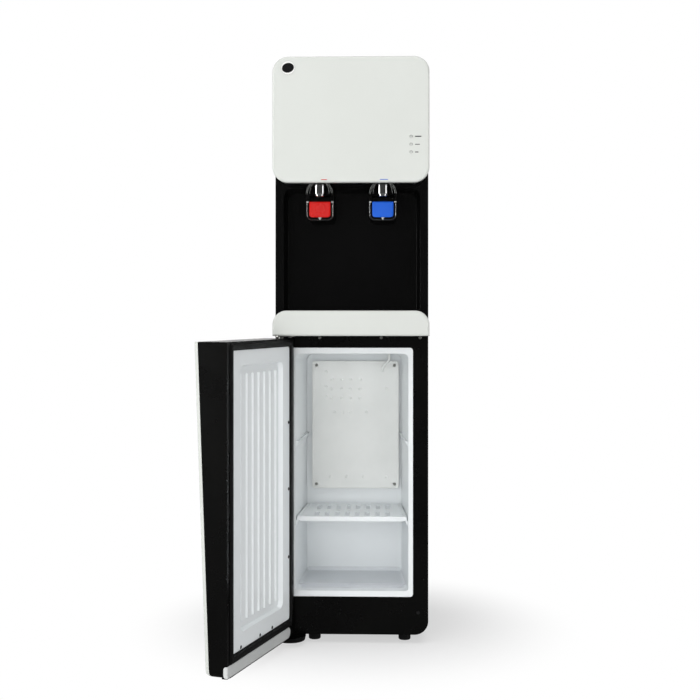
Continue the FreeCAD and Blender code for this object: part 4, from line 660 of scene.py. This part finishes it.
panel_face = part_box("front_panel")[0].y
badge_low, badge_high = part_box("badge_disc")
badge = (badge_low + badge_high) / 2
badge_rim = oval(badge.x, badge.z, BADGE_RING, BADGE_RING, count=BADGE_POINTS)
badge_eye = oval(badge.x, badge.z, **BADGE_EYE, count=BADGE_POINTS)
plates("badge_ring", [(badge_rim, badge_eye)], badge_low.y, "cabinet", "white_plastic")

lens_low, lens_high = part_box("indicator_lenses")
lens_x = (lens_low.x + lens_high.x) / 2
dashes = [(bar(DASH_START, end, z - half, z + half), None) for end, z, half in LIGHT_DASHES]
rings = [tuple(oval(lens_x, z * MM, size, size) for size in (RING_OUTER, RING_INNER)) for z in LIGHT_ROWS]
plates("light_marks", dashes + rings, panel_face, "cabinet", "black_satin")
for name, (left, right, slot) in TAP_DASHES.items():
    plates(name, [(bar(left, right, TAP_DASH_LOW, TAP_DASH_HIGH), None)], panel_face, "cabinet", slot)

# %% [markdown]
# Some lines in the picture are only as wide as a bead of light: the raised bead round each push paddle, and
# the front edges of the arches beside each nozzle, whose thin pale grey wires are painted highlights on the
# black moulding. A path swept by a small circle gives such a bead, so one tree turns any chain of points into
# a thin round wire. The two tabs at a paddle's upper corners and its small latch are flat, so they are thin
# plates again; the latch's pale grey face is a painted highlight.

# %% A node tree for thin beads
bead_tree, enter, leave = new_tree("thin_bead", [
    ("Radius", "NodeSocketFloat", 0.5 * MM), ("Finish", "NodeSocketMaterial", None)])
path = add(bead_tree, "GeometryNodeMeshToCurve", {"Mesh": enter.outputs["Geometry"]})
round_section = add(bead_tree, "GeometryNodeCurvePrimitiveCircle", {
    "Resolution": 10, "Radius": enter.outputs["Radius"]})
swept = add(bead_tree, "GeometryNodeCurveToMesh", {
    "Curve": path.outputs["Curve"], "Profile Curve": round_section.outputs["Curve"], "Fill Caps": True})
smooth = add(bead_tree, "GeometryNodeSetShadeSmooth", {"Geometry": swept.outputs["Mesh"]})
end_tree(bead_tree, enter, leave, smooth.outputs["Geometry"])


def beads(name, paths, radius, body, slot):
    """Round wires along paths of points, as one piece."""
    points, edges = [], []
    for chain in paths:
        first = len(points)
        points += chain
        edges += [(i, i + 1) for i in range(first, len(points) - 1)]
    return grown(name, bead_tree, points, [FRONT] * len(points), {"Radius": radius}, body, slot, edges)


# %% Paths on the taps, in millimetres from the tap's middle
PADDLE_HALF, PADDLE_LOW, PADDLE_HIGH, PADDLE_CORNER = 25.1, 829.4, 863.4, 10.6
CORNER_STEPS = 8
ARCH_HEIGHTS = (899.2, 891.2, 878.9)
ARCHES = ((14.9, 22.4, 25.7), (12.4, 20.0, 23.3), (11.4, 16.5, 18.8))  # half widths at those heights
ARCH_STEPS = 10


def paddle_path(middle, plane):
    """Down one side of a push paddle, round its two lower corners and up the other side."""
    path = [(-PADDLE_HALF, PADDLE_HIGH)]
    for centre, start in ((PADDLE_CORNER - PADDLE_HALF, 180), (PADDLE_HALF - PADDLE_CORNER, 270)):
        for step in range(CORNER_STEPS + 1):
            angle = math.radians(start + 90 * step / CORNER_STEPS)
            path.append((centre + PADDLE_CORNER * math.cos(angle),
                         PADDLE_LOW + PADDLE_CORNER + PADDLE_CORNER * math.sin(angle)))
    path.append((PADDLE_HALF, PADDLE_HIGH))
    return [Vector(((middle + x) * MM, plane, z * MM)) for x, z in path]


def through_three(first, second, third, share):
    """The value at a share of the way along a smooth curve through three values."""
    return (first * (1 - share) * (1 - 2 * share) + second * 4 * share * (1 - share)
            + third * share * (2 * share - 1))


def arch_paths(middle, plane):
    """The two sides of each arch beside a nozzle."""
    shares = [step / ARCH_STEPS for step in range(ARCH_STEPS + 1)]
    return [[Vector(((middle + side * through_three(*half_widths, share)) * MM, plane,
                     through_three(*ARCH_HEIGHTS, share) * MM)) for share in shares]
            for half_widths in ARCHES for side in (-1, 1)]


# %% Beads, painted highlights, tabs and latches of both taps
PADDLE_BEAD, ARCH_HIGHLIGHT = 0.55 * MM, 0.17 * MM
BEAD_SINK, LATCH_PROUD = 0.3 * MM, 0.05 * MM
TAB_THICKNESS, LATCH_THICKNESS = 0.3 * MM, 0.15 * MM
TAB_PLACE, TAB_HALF, TAB_LOW, TAB_HIGH = 24.2, 2.2, 863.2, 864.9
LATCH_HALF, STEM_HALF, STEM_LOW, LATCH_LOW, LATCH_HIGH = 2.9, 1.0, 829.6, 832.6, 833.9

for name in ("hot", "cold"):
    lever = name + "_lever"
    paddle_low, paddle_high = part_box(name + "_paddle")
    middle = (paddle_low.x + paddle_high.x) / 2 / MM
    face = paddle_low.y
    beads(name + "_paddle_bead", [paddle_path(middle, face + BEAD_SINK)], PADDLE_BEAD, lever, "chrome")
    arches = arch_paths(middle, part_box(name + "_tap_body")[0].y)
    # Pale grey wires along the arch edges: painted highlights on the black moulding.
    beads(name + "_arch_painted_highlights", arches, ARCH_HIGHLIGHT, "cabinet", "lens")
    tab_places = [middle + side * TAB_PLACE for side in (-1, 1)]
    tabs = [(bar(place - TAB_HALF, place + TAB_HALF, TAB_LOW, TAB_HIGH), None) for place in tab_places]
    plates(name + "_paddle_tabs", tabs, face, lever, "pale_grey", TAB_THICKNESS)
    # The latch's pale grey face is a painted highlight on the latch.
    latch = [(bar(middle - LATCH_HALF, middle + LATCH_HALF, LATCH_LOW, LATCH_HIGH), None),
             (bar(middle - STEM_HALF, middle + STEM_HALF, STEM_LOW, LATCH_LOW), None)]
    plates(name + "_latch_painted_highlight", latch, face - LATCH_PROUD, lever, "lens", LATCH_THICKNESS)

# %% [markdown]
# The floor is plain and pale. It has to keep the object's soft shadow and still run into a white
# background without a line. So near the object it is a plain matt surface that is partly lifted to white
# for the camera, and further out it becomes fully white. Reflections see it nearly dark instead, because a
# white floor mirrored in the black steel and the glossy bay would turn them grey.

# %% Floor
FLOOR_REACH = 30.0
SHADOW_NEAR, SHADOW_FAR = 0.16, 0.48
SHADOW_LIFT = 0.55
MIRRORED_FLOOR = 0.10

floor_mesh = bpy.data.meshes.new("studio_floor")
corners = [(x * FLOOR_REACH, y * FLOOR_REACH, 0) for x, y in ((-1, -1), (1, -1), (1, 1), (-1, 1))]
floor_mesh.from_pydata(corners, [], [(0, 1, 2, 3)])
floor = bpy.data.objects.new("studio_floor", floor_mesh)
bpy.context.scene.collection.objects.link(floor)
material = bpy.data.materials.new("floor_white")
material.use_nodes = True
tree = material.node_tree
shader = tree.nodes["Principled BSDF"]
output = tree.nodes["Material Output"]
fill(shader, {"Base Color": pale(0.86), "Roughness": 0.9, "Specular IOR Level": 0.0})
where = add(tree, "ShaderNodeTexCoord")
distance = add(tree, "ShaderNodeVectorMath", {0: where.outputs["Object"]}, operation="LENGTH")
fade = add(tree, "ShaderNodeMapRange", {
    "Value": distance.outputs["Value"], "From Min": SHADOW_NEAR, "From Max": SHADOW_FAR,
    "To Min": SHADOW_LIFT, "To Max": 1.0}, interpolation_type="SMOOTHSTEP")
light_path = add(tree, "ShaderNodeLightPath")
seen = add(tree, "ShaderNodeMath", {0: light_path.outputs["Is Camera Ray"], 1: fade.outputs["Result"]},
           operation="MULTIPLY")
white = add(tree, "ShaderNodeEmission", {"Color": pale(1.0), "Strength": 1.0})
blend = add(tree, "ShaderNodeMixShader", {
    0: seen.outputs[0], 1: shader.outputs["BSDF"], 2: white.outputs["Emission"]})
dim = add(tree, "ShaderNodeEmission", {"Color": pale(1.0), "Strength": MIRRORED_FLOOR})
shown = add(tree, "ShaderNodeMixShader", {
    0: light_path.outputs["Is Glossy Ray"], 1: blend.outputs["Shader"], 2: dim.outputs["Emission"]})
fill(output, {"Surface": shown.outputs["Shader"]})
floor_mesh.materials.append(material)

# %% [markdown]
# Two tall soft boxes stand at the left and the right, so that round chrome shows two standing streaks. They
# are the only lamps that reflections see. A broad wash from the front left lights the white faces, a small
# lamp low on the right fills the inside of the refrigerator, and a large one overhead lights what lies
# flat. The world is white for the camera and a gentle fill for everything else. In reflections it is white
# only behind the object and dark in front, as a room behind the camera is, so flat black faces stay black.

# %% Lamps
LAMPS = {
    "left_box": {"place": (-2.5, -1.15, 0.95), "aim": (0, -0.15, 0.60), "size": (0.8, 1.8), "watts": 24.0},
    "right_box": {"place": (2.5, -1.35, 0.80), "aim": (0, -0.15, 0.45), "size": (0.6, 1.8), "watts": 9.0},
    "front_wash": {"place": (-0.80, -3.4, 0.60), "aim": (0, -0.1, 0.45), "size": (2.4, 2.0), "watts": 61.0},
    "front_right": {"place": (0.95, -3.0, 0.35), "aim": (0, -0.1, 0.35), "size": (1.2, 1.0), "watts": 11.0},
    "overhead": {"place": (0, -0.9, 3.0), "aim": (0, -0.2, 0), "size": (3.0, 3.0), "watts": 52.0}}
MIRRORED_LAMPS = ("left_box", "right_box")

for name, facts in LAMPS.items():
    lamp = bpy.data.lights.new(name, "AREA")
    lamp.shape = "RECTANGLE"
    lamp.size, lamp.size_y = facts["size"]
    lamp.energy = facts["watts"]
    stand = bpy.data.objects.new(name, lamp)
    bpy.context.scene.collection.objects.link(stand)
    stand.location = facts["place"]
    aim = Vector(facts["aim"]) - Vector(facts["place"])
    stand.rotation_euler = aim.to_track_quat("-Z", "Y").to_euler()
    stand.visible_glossy = name in MIRRORED_LAMPS
print("lamps:", ", ".join(LAMPS))

# %% World
ROOM_FILL = 0.12
DARK_ROOM = 0.05
BEHIND_FROM, BEHIND_TO = 0.80, 0.95

world = bpy.data.worlds.new("studio")
bpy.context.scene.world = world
world.use_nodes = True
tree = world.node_tree
where = add(tree, "ShaderNodeTexCoord")
apart = add(tree, "ShaderNodeSeparateXYZ", {"Vector": where.outputs["Generated"]})
behind = add(tree, "ShaderNodeMapRange", {
    "Value": apart.outputs["Y"], "From Min": BEHIND_FROM, "From Max": BEHIND_TO,
    "To Min": DARK_ROOM, "To Max": 1.0}, interpolation_type="SMOOTHSTEP")
light_path = add(tree, "ShaderNodeLightPath")
mirror = add(tree, "ShaderNodeMath", {
    0: light_path.outputs["Is Glossy Ray"], 1: light_path.outputs["Is Transmission Ray"]},
    operation="MAXIMUM")
fill_or_mirror = add(tree, "ShaderNodeMix", {
    "Factor": mirror.outputs[0], "A": ROOM_FILL, "B": behind.outputs["Result"]}, data_type="FLOAT")
strength = add(tree, "ShaderNodeMix", {
    "Factor": light_path.outputs["Is Camera Ray"], "A": fill_or_mirror.outputs["Result"], "B": 1.0},
    data_type="FLOAT")
fill(tree.nodes["Background"], {"Color": pale(1.0), "Strength": strength.outputs["Result"]})
bpy.context.scene.view_settings.view_transform = "Standard"
